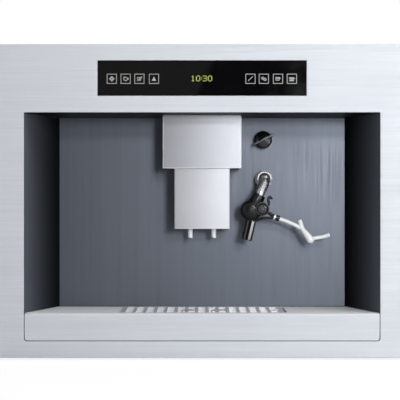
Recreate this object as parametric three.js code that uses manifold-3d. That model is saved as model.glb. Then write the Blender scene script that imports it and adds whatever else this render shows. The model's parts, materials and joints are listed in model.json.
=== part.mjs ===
// Built-in coffee machine for a 60 cm wide, 45 cm high kitchen niche.
// Millimetres. X runs to the right, Y to the rear and Z up. The origin lies on the niche floor,
// midway between the sides and midway between the face of the fascia and the rearmost face.
// Pieces that touch are drawn 0.3 mm apart, so that each one stays a solid of its own.

import * as THREE from 'three';
import { mergeVertices } from 'three/addons/utils/BufferGeometryUtils.js';
import Module from 'manifold-3d';

const wasm = await Module();
wasm.setup();

// ---------------------------------------------------------------- driving dimensions

const seat = 0.3; // gap between two pieces that touch
const sheet = 1.2; // casing and liner steel
const roundSides = 24; // facets of a round part
const smallSides = 12; // facets of a small round part

// Fascia and the opening in it
const overallDepth = 400;
const fasciaWidth = 595;
const fasciaHeight = 455;
const fasciaLift = 3; // lower edge above the niche floor
const fasciaReturn = 20; // depth of the folded rim
const fasciaSheet = 1.5;
const sideRail = 39;
const topRail = 99;
const bottomRail = 24;
const openingCorner = 4.5;

// Control glass in the top rail
const glassWidth = 303.5;
const glassHeight = 51.5;
const glassThickness = 4;
const glassDrop = 49.4; // fascia's upper edge down to the middle of the glass

// Telescopic rails
const nicheHalf = 279; // outer face of the rails
const railStart = 26; // fascia's face to the front of the rails
const railEnd = 24; // rear of the rails to the rearmost face
const railHeight = 44;
const railSheet = 1.5;
const railLip = 9; // inward lips of the outer rail
const railFootWidth = 43;
const railBase = 6.4; // underside of the outer rail's lower lip
const middleRailWeb = 5.2; // middle rail's web, in from the outer rail's web
const middleRailFlange = 3.3; // how far its flanges reach inward of its web

// Casing
const casingHalf = 266;
const panLift = 8; // underside of the base pan above the niche floor
const panFlange = 14;
const casingDrop = 19; // fascia's upper edge down to the top edge of the side walls
const wallFlange = 8;
const slotWidth = 5; // ventilation slots
const slotPitch = 14;
const slotLength = 70;
const slotDrop = 39; // casing's top edge down to the upper end of the slots
const inletProud = 2; // mains inlet's flange behind the rear wall
const shelfHeight = 74; // underside of the chassis shelf
const shelfFlange = 12;

// Cup cavity
const cavityDepth = 110;
const cavityBackHalf = 220;

// Coffee outlet, centred on the machine
const housingWidth = 117.6;
const housingHeight = 79.8;
const housingDepth = 62;
const housingWall = 2;
const housingBow = 2.8; // how far the middle of its front stands out
const spoutWidth = 83.8;
const spoutDepth = 50;
const spoutHeight = 118;
const spoutShows = 90.4; // how much of the sliding block shows below the housing
const spoutWall = 1.6;
const spoutSetback = 3.5; // sliding block's face behind the inside of the housing's front
const guideWidth = 10; // ribs in the housing that guide the sliding block
const nozzleSpacing = 35.5;
const nozzleLength = 14.2; // below the sliding block
const nozzleRadius = 3.25;
const nozzleBore = 2.1;
const coffeePipeRadius = 4;
const coffeePipeDrop = 97; // cavity roof down to the end of the drop pipe

// Steam knob and steam wand on the back plate
const knobX = 94;
const knobDrop = 34.5; // opening's upper edge down to the knob's axis
const knobRadius = 13.8;
const knobDepth = 19.5;
const knobShaft = 4;
const shaftInValve = 12; // how far the shaft reaches behind the back plate's face
const barLength = 34;
const barWidth = 4.4;
const barAngle = 27.4; // degrees above the horizontal
const valveHalfX = 15;
const valveHalfZ = 18;
const valveDepth = 38; // back plate's face to the rear of the valve's body
const wandX = 95;
const wandDrop = 94.5; // opening's upper edge down to the middle of the wand's dome
const domeRadius = 13.3;
const domeDepth = 13;
const ballRadius = 9;
const ballReach = 26; // back plate to the centre of the ball
const wandRoot = 8.6; // radius of the wand's pipe at the ball
const wandTip = 5.3; // and inside the frother
const frotherRadius = 15.9;
const dialRadius = 10;
const frotherNozzleRadius = 8.1;
const suctionRadius = 2.75;

// Drip drawer
const drawerFrontHeight = 39.3;
const drawerSeam = 1.2;
const gridWidth = 243;
const gridDepth = 87;
const gridSetback = 15; // fascia's face to the front of the grid
const gridThickness = 5.5;
const gridPlate = 2.7; // thickness of its bars
const gridPitch = 15.4;
const gridBar = 4.2;
const gridRows = 3;
const gridRim = 4;
const gridPlay = 2.6; // gap at its right end, for a fingernail
const ledge = 4; // how far the drawer reaches under the grid
const fingerHoles = [-18.3, 25.5]; // middles of the two lens-shaped openings
const fingerHalf = 9.3;
const fingerReach = 11;
const fingerSlant = 12; // their right end lies further back than their middle
const basinWall = 2;
const basinLift = 1; // underside of the basin above the opening's lower edge
const basinGap = 4; // back plate's face to the rear of the basin
const basinHalf = 240;
const groundsHalf = 150;
const groundsDepth = 185.7;
const groundsHeight = 36;
const runnerX = 120; // inner face of the pan's runners
const runnerWidth = 12;
const floatX = 112;

// Brew unit
const brewHalf = 48;
const brewHalfY = 45;
const brewWall = 4;
const brewSetback = 73.5; // back of the back plate to the axis of the brewing chamber
const brewDrop = 29; // cavity's roof down to the top of the brew unit
const brewHead = 30; // depth of the frame's head
const puckHalf = 32; // half width of the hole that the spent pucks fall through
const chamberRadius = 26;
const chamberBore = 22.5;
const chamberHeight = 60;
const chamberFloor = 5;
const chamberDrop = 155; // top of the brew unit down to the lowered chamber
const chamberTravel = 55;
const spindleRadius = 4;
const spindleOffset = 79; // behind the axis of the chamber
const motorHalf = 22;
const motorHigh = 35;

// Grinder and bean hopper
const grinderX = -180;
const grinderSetback = 98.5; // back of the back plate to the grinder's axis
const grinderDrop = 113.5; // casing's top edge down to the top of the grinder
const grinderRadius = 42;
const grinderMotorRadius = 31.5;
const grinderMotorDrop = 175.5;
const chuteDrop = 71.5; // top of the grinder down to the lower end of its chute
const grindKnobRadius = 12;
const grindKnobHeight = 6.4;
const hopperHalfX = 67.5;
const hopperHalfY = 62.5;
const hopperNeck = 20;
const hopperDepth = 44; // upright part of the hopper below the casing's top edge
const hopperWall = 2;
const grindKnobX = -96;

// Water side
const tankX = 203;
const tankSetback = 18.5; // back of the back plate to the front of the tank
const tankHalfX = 53;
const tankHalfY = 85;
const tankWall = 2.2;
const tankDrop = 210; // casing's top edge down to the underside of the tank
const tankOutlet = 8;
const lidThickness = 3.4;
const rimThickness = 1.5;
const rimReach = 4.5; // rim of hopper and tank beyond their walls
const thermoX = 96;
const thermoSetback = 134.5; // back of the back plate to the middle of the heater
const thermoHalfX = 30;
const thermoHalfY = 16;
const thermoHeight = 129.5; // above the shelf
const finCount = 8;
const finThickness = 6;
const pumpLift = 34.5; // shelf to the pump's axis
const pumpRadius = 18;
const pumpLength = 116;
const hoseRadius = 4;
const pipeRadius = 3;
const brewInletX = 30; // hot water's entry on top of the brew unit

// Hinges of the two lids
const pinRadius = 1.2;
const barrelRadius = 1.9;
const barrelHalf = 38;
const earWidth = 5;

// Mains and power board
const inletX = -200;
const inletHeight = 119;
const inletWidth = 48;
const inletTall = 58;
const inletDepth = 24;
const rockerSink = 3.4; // rocker's axle in front of the rear wall's outer face
const boardHalfX = 60;
const boardHalfZ = 50;
const boardLift = 270;
const boardOffset = 10; // rear wall's inside to the board
const transformerHeight = 28;

// ---------------------------------------------------------------- places worked out from them

const yFront = -overallDepth / 2;
const yRear = overallDepth / 2;
const yCasing = yFront + fasciaSheet + seat; // front edges of the casing
const yWall = yRear - inletProud; // outer face of the rear wall
const yInside = yWall - sheet - seat; // what is fitted against the rear wall
const yPlate = yFront + cavityDepth; // front face of the back plate
const yBehindPlate = yPlate + sheet + seat;
const openHalf = fasciaWidth / 2 - sideRail;
const openBottom = fasciaLift + bottomRail;
const openTop = fasciaLift + fasciaHeight - topRail;
const railLength = overallDepth - railStart - railEnd;
const casingTop = fasciaLift + fasciaHeight - casingDrop; // top edge of the side walls
const knobHeight = openTop - knobDrop;
const wandHeight = openTop - wandDrop;
const brewY = yBehindPlate + brewSetback;
const brewTop = openTop - brewDrop;
const chamberBottom = brewTop - chamberDrop;
const grinderY = yBehindPlate + grinderSetback;
const grinderTop = casingTop - grinderDrop;
const chuteHeight = grinderTop - chuteDrop;
const tankY = yBehindPlate + tankSetback + tankHalfY;
const tankBottom = casingTop - tankDrop;
const thermoY = yBehindPlate + thermoSetback;
const deckTop = openBottom + drawerSeam + drawerFrontHeight;
const linerBottom = deckTop + 2 * seat;
const linerTop = openTop - seat;
const glassZ = fasciaLift + fasciaHeight - glassDrop;
const insideHalf = casingHalf - sheet - seat; // what is fitted between the side walls
const shelfTop = shelfHeight + sheet;
const onShelf = shelfTop + seat;
const coverTop = casingTop + seat + sheet;
const rimBottom = coverTop + seat;
const rimTop = rimBottom + rimThickness;
const lidBottom = rimTop + seat;

// ---------------------------------------------------------------- solids

function signedVolume(positions, triangles) {
  const a = new THREE.Vector3();
  const b = new THREE.Vector3();
  const c = new THREE.Vector3();
  let sum = 0;
  for (let i = 0; i < triangles.length; i += 3) {
    a.fromArray(positions, triangles[i] * 3);
    b.fromArray(positions, triangles[i + 1] * 3);
    c.fromArray(positions, triangles[i + 2] * 3);
    sum += a.dot(b.cross(c));
  }
  return sum / 6;
}

// Turns a closed three.js geometry into a solid that can be joined and cut.
function solidOf(geometry) {
  const bare = geometry.clone();
  bare.deleteAttribute('normal');
  bare.deleteAttribute('uv');
  const merged = mergeVertices(bare, 1e-4);
  const positions = Float32Array.from(merged.getAttribute('position').array);
  const index = merged.getIndex().array;
  const kept = [];
  for (let i = 0; i < index.length; i += 3) {
    const [a, b, c] = [index[i], index[i + 1], index[i + 2]];
    if (a !== b && b !== c && c !== a) {
      kept.push(a, b, c);
    }
  }
  const triangles = Uint32Array.from(kept);
  if (signedVolume(positions, triangles) < 0) {
    for (let i = 0; i < triangles.length; i += 3) {
      [triangles[i + 1], triangles[i + 2]] = [triangles[i + 2], triangles[i + 1]];
    }
  }
  return new wasm.Manifold(new wasm.Mesh({ numProp: 3, vertProperties: positions, triVerts: triangles }));
}

function join(first, ...others) {
  return others.reduce((whole, other) => whole.add(other), first);
}

function cut(first, ...others) {
  return others.reduce((whole, other) => whole.subtract(other), first);
}

// A box between two values on each axis, given in either order.
function block(xs, ys, zs) {
  const spans = [xs, ys, zs];
  const size = spans.map(([a, b]) => Math.abs(b - a));
  const middle = spans.map(([a, b]) => (a + b) / 2);
  return solidOf(new THREE.BoxGeometry(...size).translate(...middle));
}

// A box given by its half width about x = 0.
function centred(half, ys, zs) {
  return block([-half, half], ys, zs);
}

const unitX = new THREE.Vector3(1, 0, 0);
const unitY = new THREE.Vector3(0, 1, 0);
const unitZ = new THREE.Vector3(0, 0, 1);
const drawingPlanes = {
  x: [unitY, unitZ, unitX],
  y: [unitX, unitZ, unitY],
  z: [unitX, unitY, unitZ],
};

// Extrudes an outline along an axis. The outline is drawn in the other two axes, in X, Y, Z order.
function prism(outline, along, [from, to]) {
  const pointed = () => new THREE.Shape(outline.map((p) => new THREE.Vector2(...p)));
  const shape = outline instanceof THREE.Shape ? outline : pointed();
  const options = { depth: to - from, bevelEnabled: false, curveSegments: 2 };
  const geometry = new THREE.ExtrudeGeometry(shape, options);
  geometry.translate(0, 0, from);
  geometry.applyMatrix4(new THREE.Matrix4().makeBasis(...drawingPlanes[along]));
  return solidOf(geometry);
}

// Outline of a rectangle with a radius at each corner: lower left, lower right, upper right, upper left.
function roundedOutline(left, right, low, high, radii) {
  const [r1, r2, r3, r4] = radii;
  const shape = new THREE.Shape();
  shape.moveTo(left + r1, low);
  shape.lineTo(right - r2, low);
  shape.absarc(right - r2, low + r2, r2, -Math.PI / 2, 0);
  shape.lineTo(right, high - r3);
  shape.absarc(right - r3, high - r3, r3, 0, Math.PI / 2);
  shape.lineTo(left + r4, high);
  shape.absarc(left + r4, high - r4, r4, Math.PI / 2, Math.PI);
  shape.lineTo(left, low + r1);
  shape.absarc(left + r1, low + r1, r1, Math.PI, Math.PI * 1.5);
  return shape;
}

// Outline of a bent strip of sheet: the line through the points, thickened to its left.
function stripOutline(points, thickness) {
  const line = points.map((p) => new THREE.Vector2(...p));
  const leftOf = (a, b) => new THREE.Vector2(a.y - b.y, b.x - a.x).normalize();
  const offset = line.map((point, i) => {
    const before = i > 0 ? leftOf(line[i - 1], point) : leftOf(point, line[i + 1]);
    const after = i < line.length - 1 ? leftOf(point, line[i + 1]) : before;
    const mitre = before.clone().add(after).normalize();
    return mitre.multiplyScalar(thickness / mitre.dot(before)).add(point);
  });
  return new THREE.Shape([...line, ...offset.reverse()]);
}

// Turns a profile of [radius, distance] pairs round the line that runs from a point in a direction.
function turned(profile, from, direction, sides = roundSides) {
  const points = profile.map(([radius, distance]) => new THREE.Vector2(radius, distance));
  const geometry = new THREE.LatheGeometry(points, sides);
  const turn = new THREE.Quaternion().setFromUnitVectors(unitY, new THREE.Vector3(...direction).normalize());
  geometry.applyQuaternion(turn);
  geometry.translate(...from);
  return solidOf(geometry);
}

// A straight round bar, or a tapered one, between two points.
function rod(start, end, radius, endRadius = radius, sides = roundSides) {
  const run = new THREE.Vector3(...end).sub(new THREE.Vector3(...start));
  const profile = [[0, 0], [radius, 0], [endRadius, run.length()], [0, run.length()]];
  return turned(profile, start, run.toArray(), sides);
}

function ball(centre, radius, sides = roundSides) {
  return solidOf(new THREE.SphereGeometry(radius, sides, sides / 2).translate(...centre));
}

// A bent bar along a smooth curve through the points.
function bentBar(points, radius, sides = 10, steps = 16) {
  const curve = new THREE.CatmullRomCurve3(points.map((p) => new THREE.Vector3(...p)), false, 'centripetal');
  const section = new THREE.Shape();
  section.absarc(0, 0, radius, 0, Math.PI * 2);
  const options = { steps, extrudePath: curve, bevelEnabled: false, curveSegments: sides / 2 };
  return solidOf(new THREE.ExtrudeGeometry(section, options));
}

// A bent bar whose radius changes: the radii are spread evenly along its length.
function taperedBar(points, radii, sides, steps) {
  const curve = new THREE.CatmullRomCurve3(points.map((p) => new THREE.Vector3(...p)), false, 'centripetal');
  const frames = curve.computeFrenetFrames(steps);
  const spans = radii.length - 1;
  const ringAt = (step) => {
    const along = step / steps * spans;
    const before = Math.min(Math.floor(along), spans - 1);
    const radius = THREE.MathUtils.lerp(radii[before], radii[before + 1], along - before);
    const centre = curve.getPointAt(step / steps);
    return Array.from({ length: sides }, (_, side) => {
      const angle = side / sides * Math.PI * 2;
      return centre.clone()
        .addScaledVector(frames.normals[step], radius * Math.cos(angle))
        .addScaledVector(frames.binormals[step], radius * Math.sin(angle));
    });
  };
  const rings = Array.from({ length: steps + 1 }, (_, step) => ringAt(step));
  const vertices = [...rings.flat(), curve.getPointAt(0), curve.getPointAt(1)];
  const startCentre = vertices.length - 2;
  const endCentre = vertices.length - 1;
  const faces = [];
  for (let side = 0; side < sides; side += 1) {
    const next = (side + 1) % sides;
    const last = steps * sides;
    faces.push(startCentre, next, side, endCentre, last + side, last + next);
    for (let low = 0; low < last; low += sides) {
      const high = low + sides;
      faces.push(low + side, low + next, high + next, low + side, high + next, high + side);
    }
  }
  const geometry = new THREE.BufferGeometry().setFromPoints(vertices);
  geometry.setIndex(faces);
  return solidOf(geometry);
}

// A four-sided funnel solid: half sizes at its lower and upper end.
function taperedBox(centre, [low, high], [lowX, lowY], [highX, highY]) {
  const corners = [];
  for (const [z, x, y] of [[low, lowX, lowY], [high, highX, highY]]) {
    corners.push([-x, -y, z], [x, -y, z], [x, y, z], [-x, y, z]);
  }
  const faces = [[3, 2, 1, 0], [4, 5, 6, 7], [0, 1, 5, 4], [1, 2, 6, 5], [2, 3, 7, 6], [3, 0, 4, 7]];
  const geometry = new THREE.BufferGeometry();
  geometry.setAttribute('position', new THREE.Float32BufferAttribute(corners.flat(), 3));
  geometry.setIndex(faces.flatMap(([a, b, c, d]) => [a, b, c, a, c, d]));
  return solidOf(geometry.translate(...centre));
}

// ---------------------------------------------------------------- finishes

const finishes = {
  brushed: { color: 0xd4d7dc, roughness: 0.35, metalness: 0.9 },
  satinSilver: { color: 0xd6d9e0, roughness: 0.4, metalness: 0.8 },
  darkBrushed: { color: 0x6a7079, roughness: 0.4, metalness: 0.9 },
  chrome: { color: 0xe6e8ea, roughness: 0.08, metalness: 1 },
  galvanised: { color: 0xa9adb0, roughness: 0.55, metalness: 0.8 },
  railSteel: { color: 0x9ea3a8, roughness: 0.35, metalness: 0.9 },
  blackGlass: { color: 0x050506, roughness: 0.05, metalness: 0 },
  blackPlastic: { color: 0x0c0d0f, roughness: 0.3, metalness: 0 },
  darkPlastic: { color: 0x2a2c30, roughness: 0.6, metalness: 0 },
  greyPlastic: { color: 0x6c6f74, roughness: 0.55, metalness: 0 },
  whitePlastic: { color: 0xeceef2, roughness: 0.4, metalness: 0 },
  silicone: { color: 0xdfe2e4, roughness: 0.6, metalness: 0 },
  clearPlastic: { color: 0x9fb4c4, roughness: 0.1, metalness: 0 },
  circuitBoard: { color: 0x1f5a3c, roughness: 0.6, metalness: 0 },
  castAluminium: { color: 0xb4b7ba, roughness: 0.5, metalness: 0.8 },
  brass: { color: 0xb99a52, roughness: 0.35, metalness: 0.9 },
  redPlastic: { color: 0xb02a24, roughness: 0.45, metalness: 0 },
};

const coffeeMachine = new THREE.Group();

// Adds one solid to a group as a named mesh with a material of its own.
function addPiece(group, name, solid, finish) {
  const { vertProperties, triVerts } = solid.getMesh();
  const geometry = new THREE.BufferGeometry();
  geometry.setAttribute('position', new THREE.BufferAttribute(vertProperties, 3));
  geometry.setIndex(new THREE.BufferAttribute(triVerts, 1));
  geometry.computeVertexNormals();
  const mesh = new THREE.Mesh(geometry, new THREE.MeshStandardMaterial(finishes[finish]));
  mesh.name = name;
  group.add(mesh);
}

// Adds a group at a place of its own, so that its pieces are drawn from there.
function placedGroup(x, y, z) {
  const group = new THREE.Group();
  group.position.set(x, y, z);
  coffeeMachine.add(group);
  return group;
}

const hands = [['left', -1], ['right', 1]];

// ---------------------------------------------------------------- telescopic rails

function addRails() {
  const group = placedGroup(0, yFront + railStart, 0);
  const ys = [0, railLength];
  const outerWeb = nicheHalf - railSheet;
  const lowerLip = railBase + railSheet;
  const upperLip = railHeight - railSheet;
  const middleWeb = outerWeb - middleRailWeb;
  const middleIn = middleWeb - middleRailFlange;
  const middleLow = lowerLip + seat;
  const middleHigh = upperLip - seat;
  const innerLow = middleLow + sheet + seat;
  const innerHigh = middleHigh - sheet - seat;
  const innerWeb = casingHalf + seat;
  for (const [hand, side] of hands) {
    const bar = (inner, outer, low, high) => block([side * inner, side * outer], ys, [low, high]);
    const outerRail = join(
      bar(nicheHalf - railFootWidth, nicheHalf, 0, railSheet),
      bar(outerWeb, nicheHalf, 0, railHeight),
      bar(outerWeb - railLip, nicheHalf, upperLip, railHeight),
      bar(outerWeb - railLip, nicheHalf, railBase, lowerLip),
    );
    const middleRail = join(
      bar(middleWeb, middleWeb + sheet, middleLow, middleHigh),
      bar(middleIn, outerWeb - seat, middleHigh - sheet, middleHigh),
      bar(middleIn, outerWeb - seat, middleLow, middleLow + sheet),
    );
    const innerRail = join(
      bar(innerWeb, innerWeb + railSheet, innerLow, innerHigh),
      bar(innerWeb, middleWeb - seat, innerHigh - sheet, innerHigh),
      bar(innerWeb, middleWeb - seat, innerLow, innerLow + sheet),
    );
    addPiece(group, `rail_outer_${hand}`, outerRail, 'railSteel');
    addPiece(group, `rail_middle_${hand}`, middleRail, 'railSteel');
    addPiece(group, `rail_inner_${hand}`, innerRail, 'railSteel');
  }
}

// ---------------------------------------------------------------- casing

// A row of upright slots through a wall.
function ventSlots(count, pitch, makeSlot) {
  return Array.from({ length: count }, (_, i) => makeSlot((i - (count - 1) / 2) * pitch));
}

function addCasing() {
  const slotZ = [casingTop - slotDrop - slotLength, casingTop - slotDrop];
  const slotSetback = 106.5; // rear wall's inside to the middle of the side slots
  const half = slotWidth / 2;
  const casingY = [yCasing, yInside];

  const runnerTop = openBottom + basinLift - seat;
  const runnerY = [yCasing + 30, yInside - 96.5];
  const runner = (side) => {
    const span = (grow) => [side * (runnerX + grow), side * (runnerX + runnerWidth - grow)];
    const through = [yCasing, yInside - 60];
    const outside = block(span(0), runnerY, [panLift, runnerTop]);
    return cut(outside, block(span(sheet), through, [panLift - 1, runnerTop - sheet]));
  };
  const panInside = centred(
    insideHalf - sheet,
    [yCasing - 1, yInside - sheet],
    [panLift + sheet, panLift + 2 * panFlange],
  );
  const tray = cut(centred(insideHalf, casingY, [panLift, panLift + panFlange]), panInside);
  const underRunner = (side) => {
    const span = [side * (runnerX + sheet), side * (runnerX + runnerWidth - sheet)];
    return block(span, [runnerY[0] - 1, runnerY[1] + 1], [panLift - 1, panLift + sheet + 1]);
  };
  const pan = cut(join(tray, runner(-1), runner(1)), underRunner(-1), underRunner(1));
  addPiece(coffeeMachine, 'base_pan', pan, 'galvanised');

  for (const [hand, side] of hands) {
    const outside = side * casingHalf;
    const wall = block([outside - side * sheet, outside], casingY, [panLift, casingTop]);
    const flange = block(
      [outside - side * wallFlange, outside],
      casingY,
      [casingTop - sheet, casingTop],
    );
    const slots = ventSlots(7, slotPitch, (y) => {
      const middle = yInside - slotSetback + y;
      return block([outside - side * 3, outside + side * 3], [middle - half, middle + half], slotZ);
    });
    addPiece(coffeeMachine, `side_wall_${hand}`, cut(join(wall, flange), ...slots), 'galvanised');
  }

  const rear = centred(insideHalf, [yWall - sheet, yWall], [panLift, casingTop - sheet - seat]);
  const rearThrough = [yWall - 4, yWall + 4];
  const rearSlots = ventSlots(10, slotPitch, (x) => block([x - half, x + half], rearThrough, slotZ));
  const inletHole = block(
    [inletX - inletWidth / 2 - seat, inletX + inletWidth / 2 + seat],
    rearThrough,
    [inletHeight - inletTall / 2 - seat, inletHeight + inletTall / 2 + seat],
  );
  addPiece(coffeeMachine, 'rear_wall', cut(rear, ...rearSlots, inletHole), 'galvanised');

  const coverZ = [casingTop + seat, coverTop];
  const holeZ = [casingTop - 5, coverTop + 5];
  const mouth = (x, y, halfX, halfY) => block(
    [x - halfX - 2 * seat, x + halfX + 2 * seat],
    [y - halfY - 2 * seat, y + halfY + 2 * seat],
    holeZ,
  );
  const cover = cut(
    centred(casingHalf, [yCasing, yWall], coverZ),
    mouth(grinderX, grinderY, hopperHalfX, hopperHalfY),
    mouth(tankX, tankY, tankHalfX, tankHalfY),
    rod([grindKnobX, grinderY, holeZ[0]], [grindKnobX, grinderY, holeZ[1]], 3.6, 3.6, 16),
  );
  addPiece(coffeeMachine, 'top_cover', cover, 'galvanised');

  const shelfY = [yBehindPlate, yInside];
  const shelfPlate = centred(insideHalf, shelfY, [shelfHeight, shelfTop]);
  const shelfLip = (side) => {
    const span = [side * (insideHalf - sheet), side * insideHalf];
    return block(span, shelfY, [shelfHeight, shelfHeight + shelfFlange]);
  };
  const puckHole = centred(
    puckHalf + 2,
    [brewY - puckHalf, brewY + puckHalf],
    [shelfHeight - 1, shelfTop + 1],
  );
  const shelf = cut(join(shelfPlate, shelfLip(-1), shelfLip(1)), puckHole);
  addPiece(coffeeMachine, 'chassis_shelf', shelf, 'galvanised');
}

// ---------------------------------------------------------------- fascia and controls

function addFascia() {
  const group = placedGroup(0, yFront, 0);
  const half = fasciaWidth / 2;
  const low = fasciaLift;
  const high = fasciaLift + fasciaHeight;
  const shell = centred(half, [0, fasciaReturn], [low, high]);
  const hollow = centred(
    half - fasciaSheet,
    [fasciaSheet, fasciaReturn + 1],
    [low + fasciaSheet, high - fasciaSheet],
  );
  const corners = [openingCorner, openingCorner, 1.5, 1.5];
  const openingOutline = roundedOutline(-openHalf, openHalf, openBottom, openTop, corners);
  const through = [-1, 2 * fasciaSheet];
  const opening = prism(openingOutline, 'y', through);
  const glassRim = [glassZ - glassHeight / 2, glassZ + glassHeight / 2];
  const glassHole = centred(glassWidth / 2, through, glassRim);
  addPiece(group, 'fascia', cut(shell, hollow, opening, glassHole), 'brushed');

  const glassHalf = glassWidth / 2 - seat;
  const glassRise = glassHeight / 2 - seat;
  const glass = centred(glassHalf, [0, glassThickness], [glassZ - glassRise, glassZ + glassRise]);
  addPiece(group, 'control_glass', glass, 'blackGlass');

  const boardY = glassThickness + seat;
  const board = join(
    centred(glassHalf - 6, [boardY + 3, boardY + 4.6], [glassZ - 20, glassZ + 20]),
    centred(30, [boardY, boardY + 3.2], [glassZ - 12, glassZ + 12]),
    block([-120, -70], [boardY, boardY + 3.2], [glassZ - 8, glassZ + 8]),
    block([70, 120], [boardY, boardY + 3.2], [glassZ - 8, glassZ + 8]),
    centred(18, [boardY + 4.4, boardY + 12], [glassZ - 16, glassZ - 4]),
  );
  addPiece(group, 'display_board', board, 'circuitBoard');
}

// ---------------------------------------------------------------- cup cavity

function addCavity() {
  for (const [hand, side] of hands) {
    const outline = [
      [side * openHalf, yCasing], [side * cavityBackHalf, yPlate - seat],
      [side * (cavityBackHalf + sheet), yPlate - seat], [side * (openHalf + sheet), yCasing],
    ];
    const cheek = prism(outline, 'z', [linerBottom, linerTop]);
    addPiece(coffeeMachine, `cavity_cheek_${hand}`, cheek, 'darkBrushed');
  }

  const backHalf = cavityBackHalf + sheet;
  const roofHalf = openHalf + sheet;
  const roofOutline = [
    [-roofHalf, yCasing], [roofHalf, yCasing], [backHalf, yPlate + sheet], [-backHalf, yPlate + sheet],
  ];
  const pipeY = yPlate - housingDepth / 2;
  const pipeHole = rod(
    [0, pipeY, openTop - sheet],
    [0, pipeY, openTop + 2 * sheet],
    coffeePipeRadius + seat,
    undefined,
    16,
  );
  const roof = cut(prism(roofOutline, 'z', [openTop, openTop + sheet]), pipeHole);
  addPiece(coffeeMachine, 'cavity_roof', roof, 'darkBrushed');

  const feedHole = 5.3;
  const through = (x, z, radius) => {
    const [front, back] = [yPlate - sheet, yPlate + 2 * sheet];
    return rod([x, front, z], [x, back, z], radius, radius, 20);
  };
  const plate = cut(
    centred(backHalf, [yPlate, yPlate + sheet], [linerBottom, linerTop]),
    through(knobX, knobHeight, knobShaft + seat),
    through(wandX, wandHeight, feedHole),
  );
  addPiece(coffeeMachine, 'back_plate', plate, 'darkBrushed');
}

// ---------------------------------------------------------------- coffee outlet

function addOutlet() {
  // Drawn from the middle of the edge between the cavity's roof and its back plate.
  const group = placedGroup(0, yPlate, openTop);
  const half = housingWidth / 2;
  const innerHalf = half - housingWall;
  const back = -seat;
  const bowSteps = 14;
  const plan = [[half, back], [-half, back]];
  for (let step = 0; step <= bowSteps; step += 1) {
    const across = 2 * step / bowSteps - 1;
    plan.push([across * half, housingBow * across ** 2 - housingDepth]);
  }
  const holeY = -housingDepth / 2;
  const spoutHalf = spoutWidth / 2;
  const housingInside = -housingDepth + housingWall + housingBow;
  const spoutFront = -housingDepth + housingWall + spoutSetback;
  const spoutLow = -housingHeight - spoutShows;
  const spoutHigh = spoutLow + spoutHeight;
  const spoutBack = spoutFront + spoutDepth;
  const nozzleY = spoutFront + spoutDepth / 2;
  const guideRib = (side) => block(
    [side * (spoutHalf + seat), side * (innerHalf + housingWall / 2)],
    [nozzleY - guideWidth / 2, nozzleY + guideWidth / 2],
    [-housingHeight + housingWall, -housingWall],
  );
  const housingShell = cut(
    prism(plan, 'z', [-housingHeight, -seat]),
    centred(innerHalf, [housingInside, 1], [-housingHeight - 1, -housingWall - seat]),
    rod([0, holeY, -8], [0, holeY, 1], coffeePipeRadius + seat, undefined, 16),
  );
  addPiece(group, 'outlet_housing', join(housingShell, guideRib(-1), guideRib(1)), 'satinSilver');

  const spoutPlan = roundedOutline(-spoutHalf, spoutHalf, spoutFront, spoutBack, [2, 2, 2, 2]);
  const nozzleX = nozzleSpacing / 2;
  const spoutFloor = spoutLow + spoutWall;
  const holeRadius = nozzleRadius + seat;
  const nozzleHole = (x) => rod(
    [x, nozzleY, spoutLow - 1],
    [x, nozzleY, spoutFloor + 1],
    holeRadius,
    holeRadius,
    16,
  );
  const spoutInside = [spoutFront + spoutWall, spoutBack - spoutWall];
  const spout = cut(
    prism(spoutPlan, 'z', [spoutLow, spoutHigh]),
    centred(spoutHalf - spoutWall, spoutInside, [spoutFloor, spoutHigh + 1]),
    nozzleHole(-nozzleX),
    nozzleHole(nozzleX),
  );
  addPiece(group, 'spout_block', spout, 'satinSilver');

  const collarLow = spoutFloor + seat;
  const collarHigh = collarLow + 1.5;
  const collarRadius = nozzleRadius + 2.2;
  const nozzleTip = spoutLow - nozzleLength;
  for (const [hand, side] of hands) {
    const profile = [
      [nozzleBore, nozzleTip], [nozzleRadius, nozzleTip], [nozzleRadius, collarLow],
      [collarRadius, collarLow], [collarRadius, collarHigh], [nozzleBore, collarHigh],
      [nozzleBore, nozzleTip],
    ];
    const nozzle = turned(profile, [side * nozzleX, nozzleY, 0], [0, 0, 1], 16);
    addPiece(group, `spout_nozzle_${hand}`, nozzle, 'chrome');
  }

  const pipeStart = seat - brewDrop;
  const brewAxis = brewY - yPlate;
  const pipe = bentBar([
    [0, holeY, -coffeePipeDrop], [0, holeY, -15], [0, holeY, -3], [0, holeY, 7], [0, holeY + 8, 22],
    [0, 0, 26], [0, brewAxis - 12, 22], [0, brewAxis, 8], [0, brewAxis, pipeStart],
  ], coffeePipeRadius, 10, 26);
  addPiece(group, 'coffee_pipe', pipe, 'silicone');
}

// ---------------------------------------------------------------- steam knob and valve

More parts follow.
